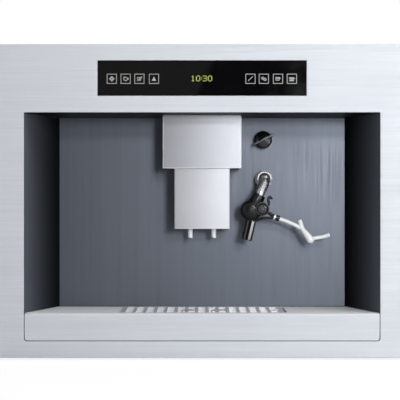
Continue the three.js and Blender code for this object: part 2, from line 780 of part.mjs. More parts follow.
function addSteamKnob() {
  // Drawn from the knob's axis on the face of the back plate; the knob stands towards -Y.
  const group = placedGroup(knobX, yPlate, knobHeight);
  const forward = [0, -1, 0];
  const origin = [0, 0, 0];
  const barSeat = 11;
  const barFront = 22;
  const barBlock = (grow, front) => {
    const outline = roundedOutline(
      -barLength / 2 - grow, barLength / 2 + grow, -barWidth / 2 - grow, barWidth / 2 + grow, [2, 2, 2, 2],
    );
    const tilt = THREE.MathUtils.degToRad(barAngle);
    const shape = new THREE.Shape(outline.getPoints(3).map((p) => p.rotateAround(new THREE.Vector2(), tilt)));
    return prism(shape, 'y', [-front, -barSeat + grow]);
  };
  const dome = [
    [0, 1], [knobRadius - 0.4, 1], [knobRadius, 4], [knobRadius, 9], [knobRadius - 1.6, 14],
    [knobRadius - 5.5, knobDepth - 1.9], [0, knobDepth],
  ];
  const body = join(
    turned(dome, origin, forward),
    rod([0, -1.5, 0], [0, shaftInValve, 0], knobShaft, knobShaft, 20),
  );
  addPiece(group, 'steam_knob', cut(body, barBlock(seat, barFront)), 'blackPlastic');
  addPiece(group, 'knob_bar', barBlock(0, barFront), 'chrome');

  const valveFront = sheet + seat;
  const valve = cut(
    join(
      block([-valveHalfX, valveHalfX], [valveFront, valveDepth], [-valveHalfZ, valveHalfZ]),
      rod([0, 16, valveHalfZ], [0, 16, valveHalfZ + 6], 9, 9, 20),
      rod([0, valveDepth - 2, 0], [0, valveDepth + 6, 0], 5, 5, 16),
    ),
    rod([0, valveFront - 1, 0], [0, shaftInValve + seat, 0], knobShaft + seat, undefined, 20),
  );
  addPiece(group, 'steam_valve', valve, 'brass');
}

// ---------------------------------------------------------------- steam wand and frother

function addSteamWand() {
  // Drawn from the middle of the dome on the face of the back plate; the wand stands towards -Y.
  const group = placedGroup(wandX, yPlate, wandHeight);
  const forward = [0, -1, 0];
  const origin = [0, 0, 0];
  const pivot = [0, -ballReach, 0];
  const spigot = 6;

  const spigotSeat = 6;
  const domeProfile = [
    [0, seat], [domeRadius, seat], [domeRadius, 5], [domeRadius - 0.2, 9], [domeRadius - 0.8, domeDepth],
    [spigot + seat, domeDepth], [spigot + seat, spigotSeat], [0, spigotSeat],
  ];
  const valveUnder = wandDrop - knobDrop - valveHalfZ - seat;
  const valveSide = knobX - wandX;
  const feed = bentBar(
    [[0, -2, 0], [0, 8, 0], [0, 16, 8], [valveSide, 18, 20], [valveSide, 18, valveUnder]],
    hoseRadius, 10, 14,
  );
  const socket = join(turned(domeProfile, origin, forward), feed);
  addPiece(group, 'wand_socket', socket, 'chrome');

  const collarRadius = domeRadius - 0.8;
  const collarProfile = [
    [0, spigotSeat + seat], [spigot, spigotSeat + seat], [spigot, domeDepth + seat],
    [collarRadius, domeDepth + seat], [collarRadius - 0.3, 17.5], [collarRadius - 0.8, 21.5],
    [collarRadius - 1.9, ballReach], [0, ballReach],
  ];
  const cupRadius = ballRadius + seat;
  const slotHalf = wandRoot + 1;
  const slot = block([-slotHalf, slotHalf], [-40, -16.5], [-14, 0]);
  const collar = cut(
    turned(collarProfile, origin, forward),
    ball(pivot, cupRadius, 20),
    slot,
    rod(pivot, [0, -40, 0], cupRadius),
  );
  addPiece(group, 'wand_collar', collar, 'chrome');

  const pipePoints = [
    pivot, [-1.4, -31, -8.5], [-6.2, -36.8, -19.5], [-9.4, -40, -30.5], [-12.4, -40, -38.5],
  ];
  const pipeRadii = [wandRoot, wandRoot, 8.1, 6.9, 5.9, wandTip];
  const widened = (grow) => pipeRadii.map((radius) => radius + grow);
  const wandPipe = join(ball(pivot, ballRadius, 24), taperedBar(pipePoints, pipeRadii, 18, 14));
  addPiece(group, 'wand_pipe', wandPipe, 'chrome');

  // The frother: a drum with a socket for the pipe, a seat for the dial and a neck for its nozzle.
  const drumY = -40;
  const drum = [-21.2, drumY, -48.3];
  const dial = [-4.6, drumY, -46.1];
  const shoulder = [-7.5, drumY, -24.5];
  const neckTop = [-20.6, drumY, -56];
  const neckEnd = [-21.1, drumY, -63.3];
  const nozzleEnd = [-28, drumY, -93];
  const drumBody = (grow) => {
    const r = frotherRadius + grow;
    const profile = [
      [0, -12 - grow], [12, -12 - grow], [r, -8], [r, 4], [r - 2.4, 9.5],
      [8.5, 12.5 + grow], [0, 12.5 + grow],
    ];
    const [dialX, , dialZ] = dial;
    const bossReach = 8 + grow;
    const bossRadius = dialRadius + 0.6 + grow;
    return join(
      turned(profile, drum, forward, 32),
      rod(shoulder, drum, 9 + grow, 12 + grow, 24),
      rod([dialX, drumY - bossReach, dialZ], [dialX, drumY + bossReach, dialZ], bossRadius),
      rod(neckTop, neckEnd, 12 + grow, 8.4 + grow, 20),
    );
  };
  const pipeSocket = taperedBar(pipePoints, widened(seat), 18, 14);
  const neck = new THREE.Vector3(...neckEnd);
  const nozzleRun = new THREE.Vector3(...nozzleEnd).sub(neck).normalize();
  const alongNozzle = (distance) => neck.clone().addScaledVector(nozzleRun, distance).toArray();
  const dialSeat = drumY - 8;
  const body = cut(
    drumBody(0),
    pipeSocket,
    rod([dial[0], drumY - 20, dial[2]], [dial[0], drumY - 1, dial[2]], 3 + seat, undefined, smallSides),
    rod([dial[0], drumY - 20, dial[2]], [dial[0], dialSeat, dial[2]], dialRadius + 2 * seat),
    rod(alongNozzle(-6), alongNozzle(2), 5.5 + seat, undefined, smallSides),
    rod(alongNozzle(0), alongNozzle(14), 14, undefined, smallSides),
  );
  addPiece(group, 'frother_body', body, 'blackPlastic');

  const nozzle = cut(
    join(
      rod(alongNozzle(seat), nozzleEnd, frotherNozzleRadius, undefined, 20),
      rod(alongNozzle(-5.5), alongNozzle(3), 5.5, undefined, 20),
    ),
    rod(alongNozzle(-8), alongNozzle(60), 3.6, undefined, 16),
  );
  addPiece(group, 'frother_nozzle', nozzle, 'blackPlastic');

  const dialBack = dialSeat - seat;
  const dialFront = dialSeat - 8;
  const hook = [[5, 3], [9.8, 7.5], [8.6, 14], [10.4, 18], [13.2, 16.6], [13.4, 14.6]];
  const leverY = dialBack - 4.4;
  const lever = bentBar(hook.map(([x, z]) => [dial[0] + x, leverY, dial[2] + z]), 2.1, 10, 14);
  const dialBody = join(
    rod([dial[0], dialFront, dial[2]], [dial[0], dialBack, dial[2]], dialRadius),
    rod([dial[0], dialFront - 1.8, dial[2]], [dial[0], dialFront + 2, dial[2]], 4, 4, 20),
    rod([dial[0], dialFront, dial[2]], [dial[0], drumY - 2, dial[2]], 3, 3, 16),
    lever,
  );
  addPiece(group, 'frother_dial', dialBody, 'blackPlastic');

  // The white suction tube, pushed into the ring at the end of the black arm.
  const armEnd = [19.3, drumY, -60];
  const armStart = [-3, drumY, -47.6];
  const strapPoints = [
    [16.5, drumY, -59.2], [6, drumY, -59.6], [-4, drumY, -60.6], [-12.4, drumY, -63],
  ];
  const tubeRun = new THREE.Vector3(14.2, 0, -5.6).normalize();
  const fromArm = (distance) => new THREE.Vector3(...armEnd).addScaledVector(tubeRun, distance).toArray();
  const arm = cut(
    join(
      rod(armStart, armEnd, 2.2, 3, 16),
      bentBar(strapPoints, 2.1, 10, 10),
      rod(fromArm(-3.4), fromArm(2.6), 4.4, undefined, 16),
    ),
    drumBody(seat),
    rod(fromArm(-2.4), fromArm(6), suctionRadius + seat, undefined, 16),
  );
  addPiece(group, 'frother_arm', arm, 'blackPlastic');

  const elbowPieces = (grow) => join(
    rod([52.4, drumY, -62.7], [56.5, drumY, -76.3], 3 + grow, 3.6 + grow, 12),
    rod([56.5, drumY, -76.3], [68.9, drumY, -92.4], 3.5 + grow, 5.9 + grow, 14),
    ball([68.9, drumY, -92.4], 5.9 + grow, 14),
    bentBar(
      [[68.9, drumY, -91.4], [80, drumY, -89.4], [90, drumY, -87.6], [97.8, drumY, -84.9]],
      3 + grow, 12, 8,
    ),
  );
  const suctionPoints = [fromArm(-2), [35.2, drumY, -65.6], [47.7, drumY, -71.6], [54, drumY, -75.4]];
  const suctionTube = cut(bentBar(suctionPoints, suctionRadius, 12, 12), elbowPieces(seat));
  addPiece(group, 'suction_tube', suctionTube, 'whitePlastic');
  addPiece(group, 'suction_elbow', elbowPieces(0), 'whitePlastic');
}

// ---------------------------------------------------------------- drip drawer

function addDrawer() {
  // Drawn from the middle of the lower edge of the drawer's front, on the face of the fascia.
  const group = placedGroup(0, yFront, openBottom + drawerSeam);
  const frontHalf = openHalf - drawerSeam;
  const high = drawerFrontHeight;
  const gridTop = high - seat;
  const gridLow = high - gridThickness;
  const gridHalf = gridWidth / 2;
  const gridBack = gridSetback + gridDepth;
  const gridArea = (grow, zs, play = 0) => block(
    [-gridHalf - grow, gridHalf + grow + play],
    [gridSetback - grow, gridBack + grow],
    zs,
  );
  const ledgeTop = gridLow - seat;
  const ledgeLow = ledgeTop - basinWall;
  const lowCorner = openingCorner - drawerSeam;
  const frontOutline = roundedOutline(-frontHalf, frontHalf, 0, high, [lowCorner, lowCorner, 0.01, 0.01]);
  const deckBack = cavityDepth - 2 * seat;
  const front = cut(
    join(
      prism(frontOutline, 'y', [0, fasciaSheet]),
      centred(frontHalf, [0, deckBack], [high - sheet, high]),
      gridArea(seat + sheet, [ledgeLow, high], gridPlay),
    ),
    gridArea(seat, [ledgeTop, high + 1], gridPlay),
    gridArea(-ledge, [ledgeLow - 1, high + 1]),
  );
  addPiece(group, 'tray_front', front, 'brushed');

  const basinLow = basinLift - drawerSeam;
  const basinHigh = high - sheet - seat;
  const inside = basinLow + basinWall;
  const tub = (half, [from, to], top) => cut(
    centred(half, [from, to], [basinLow, top]),
    centred(half - basinWall, [from + basinWall, to - basinWall], [inside, top + 1]),
  );
  const basinBack = cavityDepth - basinGap;
  addPiece(group, 'drip_basin', tub(basinHalf, [fasciaSheet + seat, basinBack], basinHigh), 'greyPlastic');
  const groundsY = [basinBack + seat, basinBack + seat + groundsDepth];
  addPiece(group, 'grounds_box', tub(groundsHalf, groundsY, basinLow + groundsHeight), 'darkPlastic');

  // The cup grid: a rim with bars that run front to back, two cross bars and two finger openings.
  const through = [gridLow - 1, high + 1];
  const columns = Math.floor((gridWidth - 2 * gridRim) / gridPitch);
  const rowPitch = (gridDepth - 2 * gridRim + gridBar) / gridRows;
  const slots = [];
  for (let row = 0; row < gridRows; row += 1) {
    const from = gridSetback + gridRim + row * rowPitch;
    for (let column = 0; column < columns; column += 1) {
      const x = (column - (columns - 1) / 2) * gridPitch;
      const half = (gridPitch - gridBar) / 2;
      slots.push(block([x - half, x + half], [from, from + rowPitch - gridBar], through));
    }
  }
  const gridMiddle = gridSetback + gridDepth / 2;
  const lens = (x, halfX, halfY) => {
    const steps = 16;
    const outline = [];
    for (let i = 0; i < steps; i += 1) {
      const angle = (2 * Math.PI * i) / steps;
      const along = Math.cos(angle);
      outline.push([x + along * halfX, gridMiddle + Math.sin(angle) * halfY + along * fingerSlant]);
    }
    return prism(outline, 'z', through);
  };
  const plateZ = [gridTop - gridPlate, gridTop];
  const plate = cut(gridArea(seat - gridRim, plateZ), ...slots);
  const eyes = fingerHoles.map((x) => lens(x, fingerHalf + gridBar, fingerReach + gridBar));
  const eyeRings = eyes.map((eye) => eye.intersect(gridArea(-gridRim, plateZ)));
  const rim = cut(gridArea(0, [gridLow, gridTop]), gridArea(-gridRim, through));
  const floatEye = rod([floatX, gridMiddle, plateZ[0]], [floatX, gridMiddle, gridTop], 6, 6, 16);
  const grid = cut(
    join(rim, plate, ...eyeRings, floatEye),
    ...fingerHoles.map((x) => lens(x, fingerHalf, fingerReach)),
    rod([floatX, gridMiddle, gridLow - 1], [floatX, gridMiddle, high + 1], 4, 4, 12),
  );
  addPiece(group, 'cup_grid', grid, 'brushed');

  const floorTop = inside + seat;
  const float = join(
    block([floatX - 9, floatX + 5], [gridMiddle - 9, gridMiddle + 9], [floorTop, floorTop + 12]),
    rod([floatX, gridMiddle, floorTop + 10], [floatX, gridMiddle, high - 1.5], 3, 3, 14),
  );
  addPiece(group, 'drip_float', float, 'redPlastic');
}

// ---------------------------------------------------------------- brew unit

function addBrewUnit() {
  // Drawn from the shelf, below the axis of the brewing chamber.
  const group = placedGroup(0, brewY, onShelf);
  const high = brewTop - onShelf;
  const spindleAt = spindleOffset;
  const chamberLow = chamberBottom - onShelf;
  const chamberHigh = chamberLow + chamberHeight;
  const headLow = high - brewHead;
  const pistonLow = chamberHigh + chamberTravel - chamberFloor;
  const frameY = [-brewHalfY, brewHalfY];
  const sidePlate = (side) => block([side * (brewHalf - brewWall), side * brewHalf], frameY, [0, high]);
  const puckWindow = centred(puckHalf, [2 - puckHalf, puckHalf - 2], [-1, chamberFloor + 1]);
  const windowMiddle = chuteHeight - onShelf;
  const windowHalf = 27.5;
  const chuteWindow = block(
    [-brewHalf - 1, -brewHalf + brewWall + 1],
    [-14, 14],
    [windowMiddle - windowHalf, windowMiddle + windowHalf],
  );
  const spindleHole = (low, top) => {
    const radius = spindleRadius + seat;
    return rod([0, spindleAt, low], [0, spindleAt, top], radius, radius, 20);
  };
  const frame = cut(
    join(
      sidePlate(-1),
      sidePlate(1),
      cut(centred(brewHalf, frameY, [0, chamberFloor]), puckWindow),
      centred(brewHalf, frameY, [headLow, high]),
      centred(12, [brewHalfY - 5, spindleAt + 14], [high - 12, high]),
      rod([0, 0, pistonLow], [0, 0, headLow + 2], chamberBore - 0.5),
    ),
    chuteWindow,
    spindleHole(high - 14, high - 3),
  );
  addPiece(group, 'brew_frame', frame, 'greyPlastic');

  const spindleFoot = motorHigh - 8;
  const motor = cut(
    centred(motorHalf, [spindleAt - motorHalf, spindleAt + motorHalf], [0, motorHigh]),
    spindleHole(spindleFoot, motorHigh + 1),
  );
  addPiece(group, 'brew_motor', motor, 'darkPlastic');

  const collarLow = motorHigh + 4;
  const collarRadius = 9;
  const spindleTop = high - 3 - seat;
  const spindleProfile = [
    [0, spindleFoot + seat], [spindleRadius, spindleFoot + seat], [spindleRadius, collarLow],
    [collarRadius, collarLow], [collarRadius, collarLow + 4], [spindleRadius, collarLow + 4],
    [spindleRadius, spindleTop], [0, spindleTop],
  ];
  const spindle = turned(spindleProfile, [0, spindleAt, 0], [0, 0, 1], 20);
  addPiece(group, 'brew_spindle', spindle, 'railSteel');

  const chamber = cut(
    join(
      rod([0, 0, chamberLow], [0, 0, chamberHigh], chamberRadius),
      centred(8, [chamberRadius - 4, spindleAt + 10], [chamberLow + 10, chamberLow + 25]),
    ),
    rod([0, 0, chamberLow + chamberFloor], [0, 0, chamberHigh + 1], chamberBore),
    spindleHole(chamberLow, chamberLow + 40),
  );
  addPiece(group, 'brew_chamber', chamber, 'darkPlastic');
}

// ---------------------------------------------------------------- lids with a pin hinge

// Two ears on a rim, with a hole for the pin, at the rear edge of a lid.
function withHingeEars(solid, [x, y]) {
  const pinZ = lidBottom + barrelRadius;
  const earHalf = barrelRadius + 0.5;
  const ears = [-1, 1].map((side) => {
    const from = x + side * (barrelHalf + seat);
    return block([from, from + side * earWidth], [y - earHalf, y + earHalf], [rimBottom, pinZ + 2.2]);
  });
  const reach = barrelHalf + 2 * earWidth;
  const pinHole = rod([x - reach, y, pinZ], [x + reach, y, pinZ], pinRadius + seat, undefined, 12);
  return cut(join(solid, ...ears), pinHole);
}

// A lid with a raised lip, a barrel along its rear edge and a pin through the barrel.
function hingedLid([x, y], halfX, halfY, hingeY) {
  const pinZ = lidBottom + barrelRadius;
  const pinHalf = barrelHalf + seat + earWidth;
  const earRelief = (side) => {
    const from = x + side * (barrelHalf - 0.01);
    const xs = [from, from + side * (earWidth + 2.5 * seat)];
    return block(xs, [hingeY - 4, hingeY + 4], [lidBottom - 1, pinZ + 7]);
  };
  const plate = block([x - halfX, x + halfX], [y - halfY, hingeY], [lidBottom, lidBottom + lidThickness]);
  const alongHinge = (half, radius, sides) => rod(
    [x - half, hingeY, pinZ],
    [x + half, hingeY, pinZ],
    radius,
    radius,
    sides,
  );
  const barrel = alongHinge(barrelHalf, barrelRadius, 16);
  return join(cut(plate, earRelief(-1), earRelief(1)), barrel, alongHinge(pinHalf, pinRadius, 12));
}

// ---------------------------------------------------------------- grinder and hopper

function addGrinder() {
  const at = [grinderX, grinderY, 0];
  const up = [0, 0, 1];
  const motorLow = grinderTop - grinderMotorDrop;
  const drumLow = grinderTop - 63.5;
  const drumHigh = grinderTop - 9.5;
  const profile = [
    [0, motorLow], [grinderMotorRadius - 1.5, motorLow], [grinderMotorRadius, motorLow + 3],
    [grinderMotorRadius, drumLow - 10], [grinderRadius, drumLow], [grinderRadius, drumHigh],
    [grinderRadius - 4, drumHigh + 4], [hopperNeck + 4, drumHigh + 4], [hopperNeck + 4, grinderTop],
    [0, grinderTop],
  ];
  const frameSide = -brewHalf - seat;
  const chute = rod(
    [grinderX + 34, grinderY - 2, chuteHeight + 38],
    [frameSide, brewY, chuteHeight],
    11,
    11,
    16,
  );
  const chuteBore = rod(
    [grinderX + 50, grinderY - 5, chuteHeight + 35],
    [frameSide + 6, brewY, chuteHeight - 3.5],
    8.6,
    8.6,
    16,
  );
  const beyondChute = block(
    [frameSide, frameSide + 30],
    [brewY - 20, brewY + 20],
    [chuteHeight - 50, chuteHeight + 50],
  );
  const legs = [0, 1, 2, 3].map((i) => {
    const angle = Math.PI / 4 + (i * Math.PI) / 2;
    const x = grinderX + 22 * Math.cos(angle);
    const y = grinderY + 22 * Math.sin(angle);
    return rod([x, y, onShelf], [x, y, motorLow + 4], 4, 4, 12);
  });
  const lugTop = grinderTop - 19.5;
  const lug = block(
    [grinderX + grinderRadius - 6, grindKnobX + 7],
    [grinderY - 7, grinderY + 7],
    [lugTop - 10, lugTop],
  );
  const burrMouth = rod([grinderX, grinderY, lugTop - 6], [grinderX, grinderY, grinderTop + 1], 14, 18, 24);
  const body = cut(join(turned(profile, at, up, 32), chute, ...legs, lug), chuteBore, beyondChute, burrMouth);
  addPiece(coffeeMachine, 'grinder_body', body, 'darkPlastic');

  const hopperLow = grinderTop + seat;
  const taper = (shrink, low, high) => taperedBox(
    [grinderX, grinderY, 0], [low, high],
    [hopperNeck - shrink, hopperNeck - shrink], [hopperHalfX - shrink, hopperHalfY - shrink],
  );
  const straightLow = casingTop - hopperDepth;
  const mouthBox = (shrink, low, high) => block(
    [grinderX - hopperHalfX + shrink, grinderX + hopperHalfX - shrink],
    [grinderY - hopperHalfY + shrink, grinderY + hopperHalfY - shrink],
    [low, high],
  );
  const hingeY = grinderY + hopperHalfY + 1;
  const hopper = cut(
    join(
      taper(0, hopperLow, straightLow),
      mouthBox(0, straightLow, rimTop),
      mouthBox(-rimReach, rimBottom, rimTop),
    ),
    taper(hopperWall, hopperLow, straightLow),
    mouthBox(hopperWall, straightLow, rimTop + 1),
    rod([grinderX, grinderY, hopperLow - 2], [grinderX, grinderY, hopperLow + 12], 16, 16, 20),
  );
  addPiece(coffeeMachine, 'bean_hopper', withHingeEars(hopper, [grinderX, hingeY]), 'clearPlastic');
  const lid = hingedLid([grinderX, grinderY], hopperHalfX + rimReach, hopperHalfY + rimReach, hingeY);
  addPiece(coffeeMachine, 'hopper_lid', lid, 'darkPlastic');

  const group = placedGroup(grindKnobX, grinderY, 0);
  const shaftLow = lugTop + seat;
  const knobTop = rimBottom + grindKnobHeight;
  const knobProfile = [
    [0, shaftLow], [3, shaftLow], [3, rimBottom], [grindKnobRadius, rimBottom],
    [grindKnobRadius, knobTop - 1.4], [grindKnobRadius - 1.5, knobTop], [0, knobTop],
  ];
  addPiece(group, 'grind_knob', turned(knobProfile, [0, 0, 0], up, 24), 'blackPlastic');
}

// ---------------------------------------------------------------- water tank, pump and heater

function addWaterSide() {
  const x = tankX;
  const y = tankY;
  const tankBox = (shrink, low, high) => block(
    [x - tankHalfX + shrink, x + tankHalfX - shrink],
    [y - tankHalfY + shrink, y + tankHalfY - shrink],
    [low, high],
  );
  const outletLow = tankBottom - 6;
  const tank = cut(
    join(
      tankBox(0, tankBottom, rimTop),
      tankBox(-rimReach, rimBottom, rimTop),
      rod([x, y, outletLow], [x, y, tankBottom + 1], tankOutlet, undefined, 20),
    ),
    tankBox(tankWall, tankBottom + tankWall, rimTop + 1),
    rod([x, y, outletLow - 1], [x, y, tankBottom + 5], hoseRadius, undefined, 12),
  );
  const hingeY = y + tankHalfY + 1;
  addPiece(coffeeMachine, 'water_tank', withHingeEars(tank, [x, hingeY]), 'clearPlastic');
  const lid = hingedLid([x, y], tankHalfX + rimReach, tankHalfY + rimReach, hingeY);
  addPiece(coffeeMachine, 'tank_lid', lid, 'darkPlastic');

  const standTop = tankBottom - seat;
  const [standFront, standBack] = [y - tankHalfY - 4, y + tankHalfY + 4];
  const foldLow = onShelf + sheet;
  const standLine = [
    [standFront + 12, foldLow], [standFront + sheet, foldLow], [standFront + sheet, standTop - sheet],
    [standBack - sheet, standTop - sheet], [standBack - sheet, foldLow], [standBack - 12, foldLow],
  ];
  const stand = prism(stripOutline(standLine, sheet), 'x', [x - tankHalfX - 3, x + tankHalfX + 3]);
  const standHole = rod([x, y, standTop - 8], [x, y, standTop + 1], tankOutlet + seat, undefined, 20);
  addPiece(coffeeMachine, 'tank_stand', cut(stand, standHole), 'galvanised');

  const [thermoLow, thermoHigh] = [onShelf + 4, onShelf + thermoHeight];
  const upright = (dx, dy, low, high) => rod(
    [thermoX + dx, thermoY + dy, low],
    [thermoX + dx, thermoY + dy, high],
    4,
    4,
    12,
  );
  const foot = (sx, sy) => upright(sx * 22, sy * 10, onShelf, thermoLow + 2);
  const slab = (shrink, low, high) => block(
    [thermoX - thermoHalfX + shrink, thermoX + thermoHalfX - shrink],
    [thermoY - thermoHalfY + shrink, thermoY + thermoHalfY - shrink],
    [low, high],
  );
  const finPitch = (thermoHigh - thermoLow - finThickness) / (finCount - 1);
  const fins = [];
  for (let i = 0; i < finCount; i += 1) {
    const low = thermoLow + i * finPitch;
    fins.push(slab(0, low, low + finThickness));
  }
  const portOffset = 16;
  const [steamPort, waterPort] = [thermoX - portOffset, thermoX + portOffset];
  const portTop = thermoHigh + 7;
  const thermoblock = join(
    slab(4, thermoLow, thermoHigh), ...fins, foot(-1, -1), foot(1, -1), foot(-1, 1), foot(1, 1),
    upright(-portOffset, 0, thermoHigh - 2, portTop),
    upright(portOffset, 0, thermoHigh - 2, portTop),
  );
  addPiece(coffeeMachine, 'thermoblock', thermoblock, 'castAluminium');

  const pumpLeft = thermoX + thermoHalfX + seat;
  const pumpAxis = onShelf + pumpLift;
  const [coilStart, coilEnd] = [pumpLength - 68, pumpLength - 20];
  const [spigotRadius, neckRadius] = [5, 12];
  const pumpProfile = [
    [0, 0], [spigotRadius, 0], [spigotRadius, coilStart - 14], [neckRadius, coilStart - 14],
    [neckRadius, coilStart], [pumpRadius, coilStart], [pumpRadius, coilEnd], [neckRadius, coilEnd],
    [neckRadius, coilEnd + 10], [spigotRadius, coilEnd + 10], [spigotRadius, pumpLength],
    [0, pumpLength],
  ];
  const cradle = block(
    [pumpLeft + coilStart + 8, pumpLeft + coilEnd - 8],
    [thermoY - 14, thermoY + 14],
    [onShelf, pumpAxis - 8],
  );
  const pump = join(turned(pumpProfile, [pumpLeft, thermoY, pumpAxis], [1, 0, 0], 24), cradle);
  addPiece(coffeeMachine, 'pump', pump, 'darkPlastic');

  const hoseTop = outletLow - seat;
  const pumpRight = pumpLeft + pumpLength + seat;
  const waterHose = bentBar([
    [pumpRight, thermoY, pumpAxis], [pumpRight + 3, thermoY, pumpAxis],
    [pumpRight + 10, thermoY - 1, pumpAxis + 10], [pumpRight + 6, thermoY - 8, pumpAxis + 45],
    [x + 18, y + 6, hoseTop - 28], [x, y, hoseTop - 10], [x, y, hoseTop],
  ], hoseRadius, 10, 24);
  addPiece(coffeeMachine, 'water_hose', waterHose, 'silicone');

  const valvePort = yPlate + valveDepth + 6 + seat;
  const steamPipe = bentBar([
    [steamPort, thermoY, portTop + seat], [steamPort, thermoY, portTop + 16],
    [steamPort, thermoY - 16, knobHeight - 34], [knobX - 2, valvePort + 31, knobHeight - 6],
    [knobX, valvePort + 10, knobHeight], [knobX, valvePort, knobHeight],
  ], pipeRadius, 8, 22);
  addPiece(coffeeMachine, 'steam_pipe', steamPipe, 'silicone');

  const hotWaterPipe = bentBar([
    [waterPort, thermoY, portTop + seat], [waterPort, thermoY, portTop + 16],
    [waterPort, thermoY - 4, brewTop - 10], [waterPort - 14, thermoY - 14, brewTop + 14],
    [brewInletX + 20, brewY + 14, brewTop + 20], [brewInletX, brewY, brewTop + 12],
    [brewInletX, brewY, brewTop + seat],
  ], pipeRadius, 8, 24);
  addPiece(coffeeMachine, 'hot_water_pipe', hotWaterPipe, 'silicone');
}

// ---------------------------------------------------------------- electrics

function addElectrics() {
  const board = placedGroup(inletX + 10, yInside, boardLift);
  const standoff = (sx, sz) => {
    const [x, z] = [sx * (boardHalfX - 8), sz * (boardHalfZ - 8)];
    return rod([x, -boardOffset, z], [x, 0, z], 3, 3, 12);
  };
  const onBoard = (xs, height, zs) => block(xs, [-boardOffset - height, -boardOffset], zs);
  const powerBoard = join(
    onBoard([-boardHalfX, boardHalfX], 1.6, [-boardHalfZ, boardHalfZ]),
    standoff(-1, -1), standoff(1, -1), standoff(-1, 1), standoff(1, 1),
    onBoard([-45, -10], transformerHeight, [-30, 12]),
    onBoard([5, 28], transformerHeight - 8, [-36, -8]),
    onBoard([32, 50], transformerHeight - 12, [-20, 26]),
    rod([-2, -boardOffset - 1, 30], [-2, 2 - boardOffset - transformerHeight, 30], 9, 9, 16),
  );
  addPiece(board, 'power_board', powerBoard, 'circuitBoard');

  // The mains inlet module: a three-pin socket below and a rocker switch above, in one frame.
  const inlet = placedGroup(inletX, yWall, inletHeight);
  const half = inletWidth / 2;
  const rise = inletTall / 2;
  const outside = inletProud + 1;
  const pin = (x, z) => block([x - 1, x + 1], [-17, -6], [z - 2, z + 2]);
  const rockerMiddle = 16;
  const pocketHalf = 11;
  const rockerPocket = block([-pocketHalf, pocketHalf], [-12, outside], [rockerMiddle - 8, rockerMiddle + 8]);
  const socketWell = block([-12, 12], [-16, outside], [-22, -5]);
  const flange = 3;
  const module = join(
    cut(
      join(
        block([-half, half], [-inletDepth, inletProud / 2], [-rise, rise]),
        block([-half - flange, half + flange], [seat, inletProud], [-rise - flange, rise + flange]),
      ),
      rockerPocket,
      socketWell,
    ),
    pin(-7, -15), pin(0, -11), pin(7, -15),
  );
  addPiece(inlet, 'mains_inlet', module, 'blackPlastic');

  const axleHalf = pocketHalf - 0.3;
  const paddleHalf = pocketHalf - 0.6;
  const paddle = [
    [-rockerSink, rockerMiddle - 6], [2 - rockerSink, rockerMiddle - 7],
    [2 - rockerSink, rockerMiddle + 7], [-rockerSink, rockerMiddle + 6],
  ];
  const rocker = join(
    prism(paddle, 'x', [-paddleHalf, paddleHalf]),
    rod([-axleHalf, -rockerSink, rockerMiddle], [axleHalf, -rockerSink, rockerMiddle], 2, 2, 12),
  );
  addPiece(inlet, 'mains_rocker', rocker, 'blackPlastic');
}

addRails();
addCasing();
addFascia();
addCavity();
addOutlet();
addSteamKnob();
addSteamWand();
addDrawer();
addBrewUnit();
addGrinder();
addWaterSide();
addElectrics();

export default coffeeMachine;
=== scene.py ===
"""Dresses a built-in coffee machine: rounded edges, finishes, small parts, light and camera.

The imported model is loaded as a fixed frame. Lengths in the classes are millimetres in that frame:
x to the right, y to the rear, z up, with the front panel's face at y = -200. The studio is in metres.
"""

import json
import logging
import math
from collections.abc import Callable, Sequence
from dataclasses import dataclass
from enum import Enum

import bmesh
import bpy
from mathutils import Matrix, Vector

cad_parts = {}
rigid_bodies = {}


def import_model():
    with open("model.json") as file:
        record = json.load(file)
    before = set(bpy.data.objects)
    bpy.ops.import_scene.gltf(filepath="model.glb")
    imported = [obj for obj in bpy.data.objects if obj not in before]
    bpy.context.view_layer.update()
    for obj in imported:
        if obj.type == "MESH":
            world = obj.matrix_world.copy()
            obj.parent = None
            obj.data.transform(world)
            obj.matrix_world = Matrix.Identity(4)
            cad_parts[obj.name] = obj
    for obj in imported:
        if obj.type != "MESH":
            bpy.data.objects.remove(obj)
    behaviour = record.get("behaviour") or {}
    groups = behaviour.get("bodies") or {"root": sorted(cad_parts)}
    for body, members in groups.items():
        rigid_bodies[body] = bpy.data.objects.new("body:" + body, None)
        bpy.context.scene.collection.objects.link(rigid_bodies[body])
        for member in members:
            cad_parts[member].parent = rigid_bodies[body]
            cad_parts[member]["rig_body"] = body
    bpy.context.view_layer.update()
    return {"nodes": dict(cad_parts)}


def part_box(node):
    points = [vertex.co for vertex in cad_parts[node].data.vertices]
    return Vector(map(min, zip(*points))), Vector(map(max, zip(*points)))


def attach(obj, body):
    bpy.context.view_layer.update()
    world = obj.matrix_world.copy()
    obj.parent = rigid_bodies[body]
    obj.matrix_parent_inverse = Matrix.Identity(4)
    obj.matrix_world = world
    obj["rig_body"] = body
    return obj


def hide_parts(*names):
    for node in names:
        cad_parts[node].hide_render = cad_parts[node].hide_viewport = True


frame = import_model()

log = logging.getLogger("coffee_machine")

Point = Sequence[float]
Pair = tuple[float, float]
Colour = tuple[float, float, float]
Row = tuple[float, ...]
Profile = tuple[Pair, ...]
Way = tuple[Point, ...]
Front = Callable[[float, float], Vector]
Socket = bpy.types.NodeSocket
Thing = bpy.types.Object

MILLIMETRE = 0.001
WHITE: Colour = (1.0, 1.0, 1.0)
FORWARD, REARWARD, UPWARD = (0, -1, 0), (0, 1, 0), (0, 0, 1)
CAVITY_DEPTH: Pair = (-0.2, -0.09)  # y of the front panel and of the back plate, in metres
TOUCH = 0.01  # millimetres within which two places count as one
SUNK = 0.2  # millimetres that an added rib goes into its ground


# ------------------------------------------------------------------ materials


def toned(colour: Colour, factor: float) -> Colour:
    """A colour made lighter or darker."""
    return tuple(min(1.0, channel * factor) for channel in colour)


